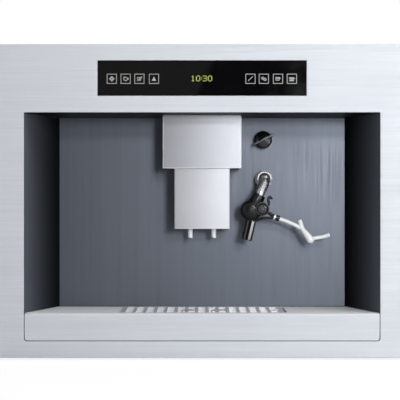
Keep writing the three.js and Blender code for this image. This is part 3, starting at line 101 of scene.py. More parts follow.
class NodeSheet:
    """The shader nodes of one material."""

    def __init__(self, name: str) -> None:
        """Starts a material with its main shader.

        Args:
            name: The material's name.
        """
        self.material = bpy.data.materials.new(name)
        self.material.use_nodes = True
        self.tree = self.material.node_tree
        self.shader = self.tree.nodes["Principled BSDF"]
        self.place = self.add("ShaderNodeTexCoord").outputs["Object"]

    def add(self, kind: str, **settings: object) -> bpy.types.Node:
        """Adds a node.

        Args:
            kind: The node's type.
            **settings: Properties to set on it.

        Returns:
            The new node.
        """
        node = self.tree.nodes.new(kind)
        for name, value in settings.items():
            setattr(node, name, value)
        return node

    def feed(self, socket: Socket, value: object) -> None:
        """Links or sets a socket.

        Args:
            socket: The input.
            value: An output socket, or a plain value.
        """
        if isinstance(value, Socket):
            self.tree.links.new(value, socket)
        else:
            socket.default_value = value

    def constant(self, **values: object) -> None:
        """Sets plain values on the main shader, with underscores for spaces in the names."""
        for name, value in values.items():
            self.shader.inputs[name.replace("_", " ")].default_value = value

    def texture(self, kind: str, scale: Point, output: str, **values: float) -> Socket:
        """A texture in object coordinates.

        Args:
            kind: Which texture.
            scale: Features per metre along each axis.
            output: Which output of the texture.
            **values: Plain inputs, with underscores for spaces in the names.

        Returns:
            That output.
        """
        node = self.add(f"ShaderNodeTex{kind}")
        mapping = self.add("ShaderNodeMapping")
        self.feed(mapping.inputs["Vector"], self.place)
        mapping.inputs["Scale"].default_value = scale
        self.feed(node.inputs["Vector"], mapping.outputs["Vector"])
        for name, value in {"Scale": 1.0, **values}.items():
            node.inputs[name.replace("_", " ")].default_value = value
        return node.outputs[output]

    def noise(self, scale: Point | float, detail: float = 3.0, rough: float = 0.55) -> Socket:
        """Cloudy noise.

        Args:
            scale: Features per metre, one number or one for each axis.
            detail: Octaves.
            rough: Weight of the fine octaves.

        Returns:
            Its value from 0 to 1.
        """
        factors = scale if isinstance(scale, tuple) else (scale,) * 3
        return self.texture("Noise", factors, "Fac", Detail=detail, Roughness=rough)

    def spread(self, value: Socket, low: float, high: float, start: float = 0.3, end: float = 0.7) -> Socket:
        """Maps a value from one range to another.

        Args:
            value: The input.
            low: Output at the start.
            high: Output at the end.
            start: Input that gives low.
            end: Input that gives high.

        Returns:
            The mapped value.
        """
        node = self.add("ShaderNodeMapRange")
        self.feed(node.inputs["Value"], value)
        for name, number in (("From Min", start), ("From Max", end), ("To Min", low), ("To Max", high)):
            node.inputs[name].default_value = number
        return node.outputs["Result"]

    def ramp(self, value: Socket, *stops: tuple[float, Colour]) -> Socket:
        """Turns a value into a colour.

        Args:
            value: The input.
            *stops: Positions with their colours.

        Returns:
            The colour.
        """
        node = self.add("ShaderNodeValToRGB")
        self.feed(node.inputs["Fac"], value)
        for element, (position, colour) in zip(node.color_ramp.elements, stops):
            element.position = position
            element.color = (*colour, 1.0)
        return node.outputs["Color"]

    def tinted(self, value: Socket, tone: Colour, low: Pair, high: Pair) -> Socket:
        """Turns a value into shades of one tone.

        Args:
            value: The input.
            tone: The tone.
            low: An input, and the factor on the tone that it gives.
            high: A higher input, and its factor.

        Returns:
            The colour.
        """
        return self.ramp(value, *((position, toned(tone, factor)) for position, factor in (low, high)))

    def mixed(self, amount: object, first: object, second: object, blend: str = "MIX") -> Socket:
        """Mixes two colours.

        Args:
            amount: Share of the second.
            first: A colour or a socket.
            second: A colour or a socket.
            blend: How they are mixed.

        Returns:
            The mixed colour.
        """
        node = self.add("ShaderNodeMix", data_type="RGBA", blend_type=blend)
        self.feed(node.inputs[0], amount)
        for socket, value in ((node.inputs[6], first), (node.inputs[7], second)):
            self.feed(socket, value if isinstance(value, Socket) else (*value, 1.0))
        return node.outputs[2]

    def painted_depth_shade(self, shade: Socket, rear: float) -> Socket:
        """Paints shade into a colour: darker in two equal passes from the front of the cavity to its rear,
        standing in for the shade deep in the cavity.

        Args:
            shade: The colour.
            rear: Factor of one pass at the back plate; 1 leaves the colour as it is.

        Returns:
            The colour with the painted shade.
        """
        if rear == 1.0:
            return shade
        apart = self.add("ShaderNodeSeparateXYZ")
        self.feed(apart.inputs["Vector"], self.place)
        inward = self.spread(apart.outputs["Y"], 0.0, 1.0, *CAVITY_DEPTH)
        # painted shade: the colour darkens towards the back plate of the cavity
        painted_shade_ramp = self.ramp(inward, (0.0, WHITE), (1.0, (rear,) * 3))
        for _ in range(2):
            shade = self.mixed(1.0, shade, painted_shade_ramp, "MULTIPLY")
        return shade

    def colour(self, value: Socket) -> None:
        """Feeds the base colour."""
        self.feed(self.shader.inputs["Base Color"], value)

    def roughness(self, value: Socket) -> None:
        """Feeds the roughness."""
        self.feed(self.shader.inputs["Roughness"], value)

    def clouded(self, tone: Colour, clouds: Socket, shades: Pair, marks: Socket, gloss: Pair,
                **values: float) -> None:
        """Gives the surface soft clouds of one tone, with marks in its gloss.

        Args:
            tone: The tone.
            clouds: The noise of the clouds.
            shades: Factors on the tone where the clouds are low and high.
            marks: The noise of the marks.
            gloss: Roughness where the marks are low and high.
            **values: Plain inputs of the shader, with underscores for spaces in the names.
        """
        self.colour(self.tinted(clouds, tone, (0.3, shades[0]), (0.7, shades[1])))
        self.roughness(self.spread(marks, *gloss))
        self.constant(**values)

    def relief(self, height: Socket, strength: float, depth: float) -> None:
        """Bumps the surface.

        Args:
            height: The height from 0 to 1.
            strength: How strongly it shows.
            depth: Height of the relief in millimetres.
        """
        node = self.add("ShaderNodeBump")
        node.inputs["Strength"].default_value = strength
        node.inputs["Distance"].default_value = depth * MILLIMETRE
        self.feed(node.inputs["Height"], height)
        self.feed(self.shader.inputs["Normal"], node.outputs["Normal"])


class Grain(Enum):
    """Which way the lines of a brushed sheet run."""

    ACROSS = (9.0, 700.0, 700.0)
    UPRIGHT = (700.0, 700.0, 9.0)
    DEEP = (700.0, 9.0, 700.0)


@dataclass(frozen=True)
class Finish:
    """A surface finish, with the record's slot that it belongs to."""

    name: str
    slot: str
    tone: Colour

    def material(self) -> bpy.types.Material:
        """The finish's material, made when it is first asked for.

        Returns:
            The material.
        """
        known = bpy.data.materials.get(self.name)
        if known:
            return known
        sheet = NodeSheet(self.name)
        self.paint(sheet)
        sheet.material.diffuse_color = (*self.tone, 1.0)
        return sheet.material

    def paint(self, sheet: NodeSheet) -> None:
        """Adds the finish's own nodes; each kind of finish has its own way."""
        raise NotImplementedError(f"{self.name} has no nodes of its own in {sheet.material.name}")


@dataclass(frozen=True)
class BrushedSteel(Finish):
    """Stainless sheet with fine parallel lines."""

    grain: Grain = Grain.ACROSS
    rough: float = 0.36
    contrast: float = 0.05
    metallic: float = 1.0
    # factor of painted shade at the back plate, for each of two passes; 1 paints none
    painted_shade_rear: float = 1.0
    shine: float = 0.5

    def paint(self, sheet: NodeSheet) -> None:
        """Streaks in colour and gloss along the grain, a few soft smudges, fine lines, and painted shade that
        darkens the colour towards the back of the cavity when its factor is below 1.

        Args:
            sheet: The material's nodes.
        """
        lines = sheet.noise(self.grain.value, 4.0, 0.6)
        streaks = sheet.noise(tuple(0.16 * factor for factor in self.grain.value), 2.0)
        smudges = sheet.noise(7.0, 3.0)
        streaky = sheet.tinted(streaks, self.tone, (0.25, 1.0 - self.contrast), (0.75, 1.0 + self.contrast))
        smudged = sheet.ramp(smudges, (0.3, (0.985, 0.985, 0.99)), (0.7, WHITE))
        # painted shade: the streaked colour darkens towards the back plate
        sheet.colour(sheet.mixed(1.0, sheet.painted_depth_shade(streaky, self.painted_shade_rear), smudged, "MULTIPLY"))
        gloss = sheet.add("ShaderNodeMath", operation="ADD")
        sheet.feed(gloss.inputs[0], sheet.spread(lines, self.rough - 0.05, self.rough + 0.05))
        sheet.feed(gloss.inputs[1], sheet.spread(smudges, -0.015, 0.025))
        sheet.roughness(gloss.outputs[0])
        sheet.constant(Metallic=self.metallic, Specular_IOR_Level=self.shine)
        sheet.relief(lines, 0.1, 0.05)


@dataclass(frozen=True)
class PolishedMetal(Finish):
    """Bright plated or polished metal."""

    rough: float = 0.08

    def paint(self, sheet: NodeSheet) -> None:
        """Nearly even colour with faint wipe marks in the gloss.

        Args:
            sheet: The material's nodes.
        """
        marks = sheet.noise((420.0, 60.0, 420.0), 3.0)
        gloss = (self.rough * 0.7, self.rough * 1.6)
        sheet.clouded(self.tone, sheet.noise(60.0, 4.0), (0.97, 1.0), marks, gloss, Metallic=1.0)
        sheet.relief(marks, 0.03, 0.006)


@dataclass(frozen=True)
class SatinMetal(Finish):
    """Fine-blasted or lacquered metal without a direction."""

    rough: float = 0.4
    metallic: float = 1.0
    texture: float = 900.0
    depth: float = 0.03

    def paint(self, sheet: NodeSheet) -> None:
        """An even fine grain over slow changes of tone.

        Args:
            sheet: The material's nodes.
        """
        fine = sheet.noise(self.texture, 3.0)
        gloss = (self.rough - 0.05, self.rough + 0.06)
        sheet.clouded(self.tone, sheet.noise(14.0, 3.0), (0.96, 1.03), fine, gloss, Metallic=self.metallic)
        sheet.relief(fine, 0.12, self.depth)


@dataclass(frozen=True)
class GalvanisedSheet(Finish):
    """Zinc-coated sheet with its spangle."""

    def paint(self, sheet: NodeSheet) -> None:
        """Crystals of slightly different tone and gloss, with a thin bloom of oxide.

        Args:
            sheet: The material's nodes.
        """
        crystals = sheet.texture("Voronoi", (85.0,) * 3, "Color")
        bloom = sheet.noise(18.0, 5.0, 0.65)
        shades = sheet.tinted(crystals, self.tone, (0.1, 0.82), (0.9, 1.1))
        oxide = sheet.ramp(bloom, (0.35, (0.84, 0.85, 0.87)), (0.65, WHITE))
        sheet.colour(sheet.mixed(1.0, shades, oxide, "MULTIPLY"))
        sheet.roughness(sheet.spread(crystals, 0.5, 0.68, 0.1, 0.9))
        sheet.constant(Metallic=1.0)
        sheet.relief(bloom, 0.15, 0.05)


@dataclass(frozen=True)
class MouldedPlastic(Finish):
    """Injection-moulded plastic."""

    rough: float = 0.45
    grain_scale: float = 1100.0
    grain_depth: float = 0.04
    shine: float = 0.5

    def paint(self, sheet: NodeSheet) -> None:
        """A leathery mould grain, with slow changes of tone and handling marks in the gloss.

        Args:
            sheet: The material's nodes.
        """
        slow = sheet.noise(24.0, 4.0)
        gloss = (self.rough * 0.85, self.rough * 1.15)
        sheet.clouded(self.tone, slow, (0.9, 1.1), slow, gloss, Metallic=0.0, Specular_IOR_Level=self.shine)
        sheet.relief(sheet.noise(self.grain_scale, 2.0), 0.2, self.grain_depth)


@dataclass(frozen=True)
class DarkGlass(Finish):
    """Glass printed black on its back, with a coating that keeps reflections low."""

    level: float = 0.75

    def paint(self, sheet: NodeSheet) -> None:
        """Deep black with the faint film that fingers leave.

        Args:
            sheet: The material's nodes.
        """
        film = sheet.noise(38.0, 5.0, 0.7)
        sheet.colour(sheet.tinted(film, self.tone, (0.35, 0.7), (0.75, 1.0)))
        sheet.roughness(sheet.spread(film, 0.015, 0.06))
        sheet.constant(Metallic=0.0, Specular_IOR_Level=self.level)


@dataclass(frozen=True)
class PrintedInk(Finish):
    """Pale ink of the touch symbols, or the lit dots of the display."""

    glow: float = 0.0

    def paint(self, sheet: NodeSheet) -> None:
        """Ink of slightly uneven cover.

        Args:
            sheet: The material's nodes.
        """
        cover = sheet.noise(2600.0, 2.0)
        shade = sheet.tinted(cover, self.tone, (0.3, 0.85), (0.7, 1.0))
        sheet.colour(shade)
        sheet.roughness(sheet.spread(cover, 0.4, 0.6))
        if self.glow:
            sheet.feed(sheet.shader.inputs["Emission Color"], shade)
        sheet.constant(Metallic=0.0, Emission_Strength=self.glow)


@dataclass(frozen=True)
class ClearPlastic(Finish):
    """See-through plastic of the hopper and the tank."""

    def paint(self, sheet: NodeSheet) -> None:
        """Slightly smoky, with fine scratches in its gloss.

        Args:
            sheet: The material's nodes.
        """
        scratches = sheet.noise((900.0, 30.0, 160.0), 2.0)
        sheet.clouded(self.tone, sheet.noise(20.0, 4.0), (0.92, 1.0), scratches, (0.04, 0.16),
                      Metallic=0.0, Transmission_Weight=0.82, IOR=1.49)
        sheet.relief(scratches, 0.05, 0.02)


@dataclass(frozen=True)
class SoftSilicone(Finish):
    """Milky silicone of the hoses and pipes."""

    def paint(self, sheet: NodeSheet) -> None:
        """Cloudy, with the faint rings that extrusion leaves.

        Args:
            sheet: The material's nodes.
        """
        rings = sheet.noise(500.0, 2.0)
        sheet.clouded(self.tone, sheet.noise(90.0, 4.0), (0.9, 1.0), rings, (0.34, 0.5),
                      Metallic=0.0, Subsurface_Weight=0.25, Subsurface_Scale=0.003)
        sheet.relief(rings, 0.1, 0.04)


@dataclass(frozen=True)
class CircuitBoard(Finish):
    """Green board with tracks and solder."""

    def paint(self, sheet: NodeSheet) -> None:
        """Tracks between square fields, with solder dots over them.

        Args:
            sheet: The material's nodes.
        """
        fields = sheet.texture("Brick", WHITE, "Fac", Scale=90.0, Mortar_Size=0.09)
        cloud = sheet.noise(130.0, 2.0)
        solder = sheet.texture("Voronoi", (210.0,) * 3, "Distance")
        dots = sheet.ramp(solder, (0.16, WHITE), (0.22, (0.0,) * 3))
        mask = sheet.tinted(cloud, self.tone, (0.35, 0.75), (0.65, 1.2))
        tracks = sheet.mixed(fields, mask, toned(self.tone, 2.1))
        sheet.colour(sheet.mixed(dots, tracks, (0.55, 0.55, 0.52)))
        sheet.roughness(sheet.spread(cloud, 0.3, 0.5))
        sheet.constant(Metallic=0.0)
        sheet.relief(fields, 0.3, 0.05)


STEEL_FRONT = BrushedSteel("steel_front", "brushed", (0.62, 0.64, 0.67), Grain.ACROSS, 0.78, 0.02)
# Painted light: a lighter, nearly non-metallic copy of the front steel for the deck's upward faces.
STEEL_DECK_LIT = BrushedSteel("steel_deck_painted_light", "brushed", (0.9, 0.915, 0.945), Grain.ACROSS, 0.6, 0.02, 0.05)
STEEL_GRID = BrushedSteel("steel_grid", "brushed", (0.82, 0.83, 0.86), Grain.DEEP, 0.4, 0.03, 0.7)
STEEL_LINER = BrushedSteel("steel_liner", "dark_brushed", (0.105, 0.116, 0.14), Grain.UPRIGHT, 0.46)
# Painted shade: the cheeks' colour darkens towards the back of the cavity.
STEEL_CHEEK = BrushedSteel("steel_cheek", "dark_brushed", (0.105, 0.118, 0.141), Grain.UPRIGHT, 0.6,
                           metallic=0.12, painted_shade_rear=0.1, shine=0.05)
# Painted shade: a copy of the dark lining steel about five times darker, for the cavity's roof.
STEEL_ROOF_SHADED = BrushedSteel("steel_roof_painted_shade", "dark_brushed", (0.022, 0.025, 0.031), Grain.ACROSS, 0.5)
SATIN_SILVER = SatinMetal("satin_silver_paint", "satin_silver", (0.345, 0.356, 0.385), 0.48, 0.78,
                          2600.0, 0.01)
PALE_SILVER = SatinMetal("pale_silver_paint", "satin_silver", (0.425, 0.436, 0.465), 0.5, 0.74, 2600.0, 0.01)
# Painted highlight: a near-white copy of the satin paint, put on the rounded edges of the outlet's shells.
EDGE_HIGHLIGHT_PAINT = SatinMetal("painted_edge_highlight", "satin_silver", (0.93, 0.935, 0.95), 0.28, 0.15, 2600.0, 0.006)
SMOKED_CHROME = PolishedMetal("smoked_chrome", "chrome", (0.07, 0.072, 0.08), 0.14)
WORN_CHROME = PolishedMetal("worn_chrome", "chrome", (0.55, 0.555, 0.57), 0.27)
SATIN_NICKEL = SatinMetal("satin_nickel", "chrome", (0.9, 0.905, 0.92), 0.36, 0.12, 2600.0, 0.008)
CHROME = PolishedMetal("bright_chrome", "chrome", (0.86, 0.865, 0.875), 0.07)
ZINC = GalvanisedSheet("galvanised_sheet", "galvanised", (0.58, 0.6, 0.62))
RAIL_ZINC = SatinMetal("rail_zinc", "rail_steel", (0.62, 0.64, 0.66), 0.3, 1.0, 500.0, 0.02)
BLACK_GLASS = DarkGlass("black_glass_panel", "black_glass", (0.0035, 0.0035, 0.004))
SYMBOL_INK = PrintedInk("symbol_ink", "white_plastic", (0.42, 0.42, 0.41))
DISPLAY_DOTS = PrintedInk("display_dots", "white_plastic", (0.42, 0.46, 0.06), 0.75)
BLACK_GLOSS = MouldedPlastic("black_gloss_plastic", "black_plastic", (0.0015, 0.0018, 0.0026), 0.12, 1300.0,
                             grain_depth=0.003, shine=0.7)
BLACK_SATIN = MouldedPlastic("black_satin_plastic", "black_plastic", (0.0025, 0.003, 0.004), 0.3, 1300.0,
                             grain_depth=0.008, shine=0.35)
BLACK_PLASTIC = MouldedPlastic("black_matt_plastic", "black_plastic", (0.011, 0.0115, 0.013), 0.38, 1300.0,
                               grain_depth=0.02, shine=0.25)
DARK_PLASTIC = MouldedPlastic("dark_plastic_moulding", "dark_plastic", (0.035, 0.037, 0.041), 0.5)
GREY_PLASTIC = MouldedPlastic("grey_plastic_moulding", "grey_plastic", (0.2, 0.205, 0.215), 0.5)
WHITE_PLASTIC = MouldedPlastic("white_tube_plastic", "white_plastic", (0.84, 0.85, 0.87), 0.35, 900.0, 0.02)
RED_PLASTIC = MouldedPlastic("red_float_plastic", "red_plastic", (0.42, 0.03, 0.02), 0.4)
SILICONE = SoftSilicone("milky_silicone", "silicone", (0.72, 0.72, 0.7))
CLEAR = ClearPlastic("smoky_clear_plastic", "clear_plastic", (0.72, 0.78, 0.82))
BOARD = CircuitBoard("green_board", "circuit_board", (0.02, 0.11, 0.05))
CAST = SatinMetal("cast_aluminium_skin", "cast_aluminium", (0.5, 0.51, 0.52), 0.55, 1.0, 320.0, 0.12)
BRASS = SatinMetal("machined_brass", "brass", (0.62, 0.45, 0.2), 0.28, 1.0, 700.0, 0.02)


# ------------------------------------------------------------------ meshes


WELD_DISTANCE = 1e-6  # metres within which corners of a CAD node become one
FLAT_ANGLE = 0.4  # degrees below which two faces of a CAD node become one
FOLD_ANGLE = 40.0  # degrees above which an edge can be a fold
TURNED_SMOOTH = 40.0  # degrees shaded smooth on small turned parts
HOSE_SMOOTH = 60.0  # degrees shaded smooth on hoses, pipes and the thread


@dataclass(frozen=True)
class Extent:
    """The box of a CAD node in millimetres."""

    low: Vector
    high: Vector

    @classmethod
    def of(cls, node: str) -> "Extent":
        """Reads a node's box from the frame."""
        low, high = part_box(node)
        return cls(low / MILLIMETRE, high / MILLIMETRE)

    @property
    def middle(self) -> Vector:
        """The centre of the box."""
        return (self.low + self.high) / 2


def placed(name: str, data: bpy.types.ID) -> Thing:
    """Makes an object and puts it in the scene.

    Args:
        name: Its name.
        data: Its mesh, lamp or camera.

    Returns:
        The object.
    """
    thing = bpy.data.objects.new(name, data)
    bpy.context.scene.collection.objects.link(thing)
    return thing


def meshed(name: str, mesh: bmesh.types.BMesh) -> Thing:
    """Turns a mesh under construction into an object of the scene.

    Args:
        name: The object's name.
        mesh: The mesh, which is freed.

    Returns:
        The object.
    """
    data = bpy.data.meshes.new(name)
    mesh.to_mesh(data)
    mesh.free()
    return placed(name, data)


def is_sharp(edge: bmesh.types.BMEdge, above: float) -> bool:
    """Whether an edge's two faces meet at more than an angle in degrees."""
    return len(edge.link_faces) == 2 and edge.calc_face_angle(0.0) > math.radians(above)


def circle(radius: float, sides: int, middle: Pair = (0.0, 0.0)) -> list[Pair]:
    """Points of a circle in a plane."""
    turns = [2 * math.pi * i / sides for i in range(sides)]
    return [(middle[0] + radius * math.cos(turn), middle[1] + radius * math.sin(turn)) for turn in turns]


class Mould:
    """A mesh under construction, in millimetres. Its forms return it, so that calls can follow each other."""

    def __init__(self) -> None:
        """Starts empty."""
        self.mesh = bmesh.new()

    def _soften(self, corners: list[bmesh.types.BMVert], bevel: float, above: float = 28.0) -> None:
        """Rounds the sharp edges among some corners.

        Args:
            corners: The vertices of the new form.
            bevel: Radius; nothing is done at 0.
            above: Smallest angle in degrees that counts as sharp.
        """
        if bevel > 0:
            edges = {edge for corner in corners for edge in corner.link_edges if is_sharp(edge, above)}
            bmesh.ops.bevel(self.mesh, geom=list(edges), offset=bevel, segments=2, profile=0.5,
                            affect="EDGES", clamp_overlap=True)

    def box(self, xs: Point, ys: Point, zs: Point, bevel: float = 0.0) -> "Mould":
        """Adds a box.

        Args:
            xs: From and to along x.
            ys: From and to along y.
            zs: From and to along z.
            bevel: Radius of its edges.

        Returns:
            The mould.
        """
        corners = bmesh.ops.create_cube(self.mesh, size=1.0)["verts"]
        for corner in corners:
            corner.co = Vector(
                low + (high - low) * (part + 0.5) for part, (low, high) in zip(corner.co, (xs, ys, zs))
            )
        self._soften(corners, bevel)
        return self

    def lathe(self, profile: Sequence[Point], at: Point, axis: Point = UPWARD, sides: int = 48,
              bevel: float = 0.0) -> "Mould":
        """Adds a turned form.

        Args:
            profile: Pairs of radius and distance along the axis, in order; radius 0 closes an end.
            at: Where distance 0 is.
            axis: The direction of the axis.
            sides: Number of sides.
            bevel: Radius of its sharp edges.

        Returns:
            The mould.
        """
        turn = Vector(axis).to_track_quat("Z", "Y").to_matrix()
        rings = [
            [
                self.mesh.verts.new(turn @ Vector((*spot, along)) + Vector(at))
                for spot in circle(radius, sides)[:sides if radius else 1]
            ]
            for radius, along in profile
        ]
        closed = profile[0][0] != 0 and tuple(profile[0]) != tuple(profile[-1])
        pairs = list(zip(rings, rings[1:])) + ([(rings[-1], rings[0])] if closed else [])
        for lower, upper in pairs:
            for i in range(sides):
                j = (i + 1) % sides
                near = [lower[i % len(lower)], lower[j % len(lower)]]
                face = list(dict.fromkeys([*near, upper[j % len(upper)], upper[i % len(upper)]]))
                if len(face) > 2:
                    self.mesh.faces.new(face)
        self._soften([corner for ring in rings for corner in ring], bevel)
        return self

    def tube(self, points: Sequence[Point], radii: Sequence[float] | float, sides: int = 20,
             bend: int = 6) -> "Mould":
        """Adds a smooth tube through points, with flat ends.

        Args:
            points: The way it follows.
            radii: One radius, or one for each point.
            sides: Number of sides.
            bend: Steps between two points.

        Returns:
            The mould.
        """
        spots = [Vector(point) for point in points]
        widths = list(radii) if isinstance(radii, Sequence) else [radii] * len(spots)
        way, sizes = smooth_way(spots, widths, bend)
        rings = []
        normal = (way[1] - way[0]).orthogonal().normalized()
        for i, spot in enumerate(way):
            ahead = (way[min(i + 1, len(way) - 1)] - way[max(i - 1, 0)]).normalized()
            normal = (normal - ahead * normal.dot(ahead)).normalized()
            side = ahead.cross(normal)
            rings.append([
                self.mesh.verts.new(spot + sizes[i] * (a * normal + b * side)) for a, b in circle(1.0, sides)
            ])
        for lower, upper in zip(rings, rings[1:]):
            for k in range(sides):
                self.mesh.faces.new([lower[k], lower[(k + 1) % sides], upper[(k + 1) % sides], upper[k]])
        self.mesh.faces.new(list(reversed(rings[0])))
        self.mesh.faces.new(rings[-1])
        return self

    def ball(self, at: Point, radius: float, sides: int = 32) -> "Mould":
        """Adds a ball.

        Args:
            at: Its middle.
            radius: Its radius.
            sides: Number of sides.

        Returns:
            The mould.
        """
        steps = sides // 2
        turns = [math.pi * i / steps for i in range(1, steps)]
        belt = [(radius * math.sin(turn), -radius * math.cos(turn)) for turn in turns]
        return self.lathe([(0, -radius), *belt, (0, radius)], at, UPWARD, sides)

    def stroke(self, points: Sequence[Point], width: float, front: Front,
               depth: float, closed: bool = False) -> "Mould":
        """Adds a flat line of even width, such as one of a printed symbol.

        Args:
            points: Pairs in the plane of the print.
            width: Its width.
            front: Turns a pair into the place on the surface.
            depth: How far it reaches behind that place, along y.
            closed: Whether it comes back to its start.

        Returns:
            The mould.
        """
        flat = [Vector(point) for point in points]
        count = len(flat)
        rows = []
        for i, spot in enumerate(flat):
            before = flat[i - 1] if closed or i else spot
            after = flat[(i + 1) % count] if closed or i < count - 1 else spot
            first = (spot - before).normalized() if (spot - before).length else (after - spot).normalized()
            second = (after - spot).normalized() if (after - spot).length else first
            across = Vector((-(first + second).y, (first + second).x)).normalized()
            lean = max(0.5, across.dot(Vector((-first.y, first.x))))
            reach = across * (width / 2 / lean)
            row = []
            for side in (spot - reach, spot + reach):
                near = front(*side)
                row += [self.mesh.verts.new(near), self.mesh.verts.new(near + Vector((0, depth, 0)))]
            rows.append(row)
        pairs = list(zip(rows, rows[1:])) + ([(rows[-1], rows[0])] if closed else [])
        for one, two in pairs:
            for a, b in ((0, 2), (2, 3), (3, 1), (1, 0)):
                self.mesh.faces.new([one[a], one[b], two[b], two[a]])
        if not closed:
            for row in (rows[0], rows[-1]):
                self.mesh.faces.new([row[0], row[1], row[3], row[2]])
        return self

    def patch(self, points: Sequence[Point], front: Front, depth: float) -> "Mould":
        """Adds a flat filled shape.

        Args:
            points: Its corners, as pairs in the plane of the print.
            front: Turns a pair into the place on the surface.
            depth: How far it reaches behind that place, along y.

        Returns:
            The mould.
        """
        near, far = (
            [self.mesh.verts.new(front(*point) + Vector((0, reach, 0))) for point in points]
            for reach in (0, depth)
        )
        self.mesh.faces.new(near)
        self.mesh.faces.new(list(reversed(far)))
        for i, corner in enumerate(near):
            self.mesh.faces.new([corner, near[i - 1], far[i - 1], far[i]])
        return self

    def screw(self, at: Point, axis: Point, radius: float = 3.2, height: float = 1.5) -> "Mould":
        """Adds a pan-head screw with a round recess.

        Args:
            at: Middle of its seat.
            axis: The way the head looks.
            radius: Of the head.
            height: Of the head.

        Returns:
            The mould.
        """
        recess = radius * 0.42
        return self.lathe([
            (0, 0), (radius, 0), (radius, height * 0.45), (radius * 0.8, height * 0.85),
            (radius * 0.55, height), (recess, height), (recess * 0.7, height * 0.5), (0, height * 0.4),
        ], at, axis, 20)

    def finish(self, name: str, body: str, finish: Finish, stands_for: Sequence[str] = (),
               smooth: float = 32.0, rounding: float = 0.0) -> Thing:
        """Turns the mould into a piece of the machine.

        Args:
            name: The piece's name.
            body: The body that it rides on.
            finish: Its finish.
            stands_for: CAD nodes that it replaces.
            smooth: Largest angle in degrees that is shaded smooth.
            rounding: Radius for a bevel on all sharp edges.

        Returns:
            The piece.
        """
        bmesh.ops.recalc_face_normals(self.mesh, faces=self.mesh.faces)
        bmesh.ops.scale(self.mesh, vec=(MILLIMETRE,) * 3, verts=self.mesh.verts)
        piece = meshed(name, self.mesh)
        round_edges(piece, rounding, smooth)
        return dress(piece, body, finish, stands_for)


def smooth_way(spots: list[Vector], widths: list[float], bend: int) -> tuple[list[Vector], list[float]]:
    """A smooth curve through points.

    Args:
        spots: The points.
        widths: A radius for each.
        bend: Steps between two of them.

    Returns:
        The curve's points and their radii.
    """
    ends = [2 * spots[0] - spots[1], *spots, 2 * spots[-1] - spots[-2]]
    way, sizes = [], []
    for i in range(1, len(ends) - 2):
        for step in range(bend):
            t = step / bend
            a, b, c, d = ends[i - 1:i + 3]
            way.append(0.5 * (2 * b + (c - a) * t + (2 * a - 5 * b + 4 * c - d) * t ** 2
                              + (3 * b - a - 3 * c + d) * t ** 3))
            sizes.append(widths[i - 1] * (1 - t) + widths[i] * t)
    return [*way, spots[-1]], [*sizes, widths[-1]]


def round_edges(piece: Thing, rounding: float, smooth: float) -> None:
    """Shades a piece smooth up to an angle, and rounds its sharp edges.

    Args:
        piece: The object.
        rounding: Radius in millimetres; 0 leaves the edges as they are.
        smooth: Largest angle in degrees that is shaded smooth.
    """
    piece.data.shade_smooth()
    piece.data.set_sharp_from_angle(angle=math.radians(smooth))
    if rounding > 0:
        bevel = piece.modifiers.new("rounded", "BEVEL")
        bevel.width = rounding * MILLIMETRE
        bevel.segments = 2
        bevel.limit_method = "ANGLE"
        bevel.angle_limit = math.radians(smooth)
        bevel.harden_normals = True


def dress(piece: Thing, body: str, finish: Finish, stands_for: Sequence[str] = ()) -> Thing:
    """Gives a new piece its finish, its body and the nodes that it stands for.

    Args:
        piece: The object.
        body: The body that it rides on.
        finish: Its finish.
        stands_for: CAD nodes that it replaces.

    Returns:
        The piece.
    """
    piece.data.materials.clear()
    piece.data.materials.append(finish.material())
    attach(piece, body)
    if stands_for:
        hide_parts(*stands_for)
    log.info("%s: %s on %s", piece.name, finish.name, body)
    return piece


def refine(node: str, finish: Finish, rounding: float = 0.3, smooth: float = 30.0,
           fold: tuple[Callable[[Vector, Vector], bool], float] | None = None) -> Thing:
    """Replaces a CAD node by a copy with clean faces and rounded edges.

    Args:
        node: The node's name.
        finish: Its finish.
        rounding: Radius of its edges.
        smooth: Largest angle in degrees that is shaded smooth.
        fold: A test of an edge's two ends in millimetres, and a larger radius for those that pass.

    Returns:
        The piece.
    """
    source = frame["nodes"][node]
    mesh = bmesh.new()
    mesh.from_mesh(source.data)
    bmesh.ops.remove_doubles(mesh, verts=mesh.verts, dist=WELD_DISTANCE)
    bmesh.ops.dissolve_limit(mesh, angle_limit=math.radians(FLAT_ANGLE), verts=mesh.verts, edges=mesh.edges)
    if fold:
        passes, radius = fold
        edges = [
            edge for edge in mesh.edges
            if is_sharp(edge, FOLD_ANGLE) and passes(*(corner.co / MILLIMETRE for corner in edge.verts))
        ]
        bmesh.ops.bevel(mesh, geom=edges, offset=radius * MILLIMETRE, segments=4, profile=0.5,
                        affect="EDGES", clamp_overlap=True)
    piece = meshed(f"{node}_skin", mesh)
    round_edges(piece, rounding, smooth)
    return dress(piece, source["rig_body"], finish, (node,))


# ------------------------------------------------------------------ sub-assemblies


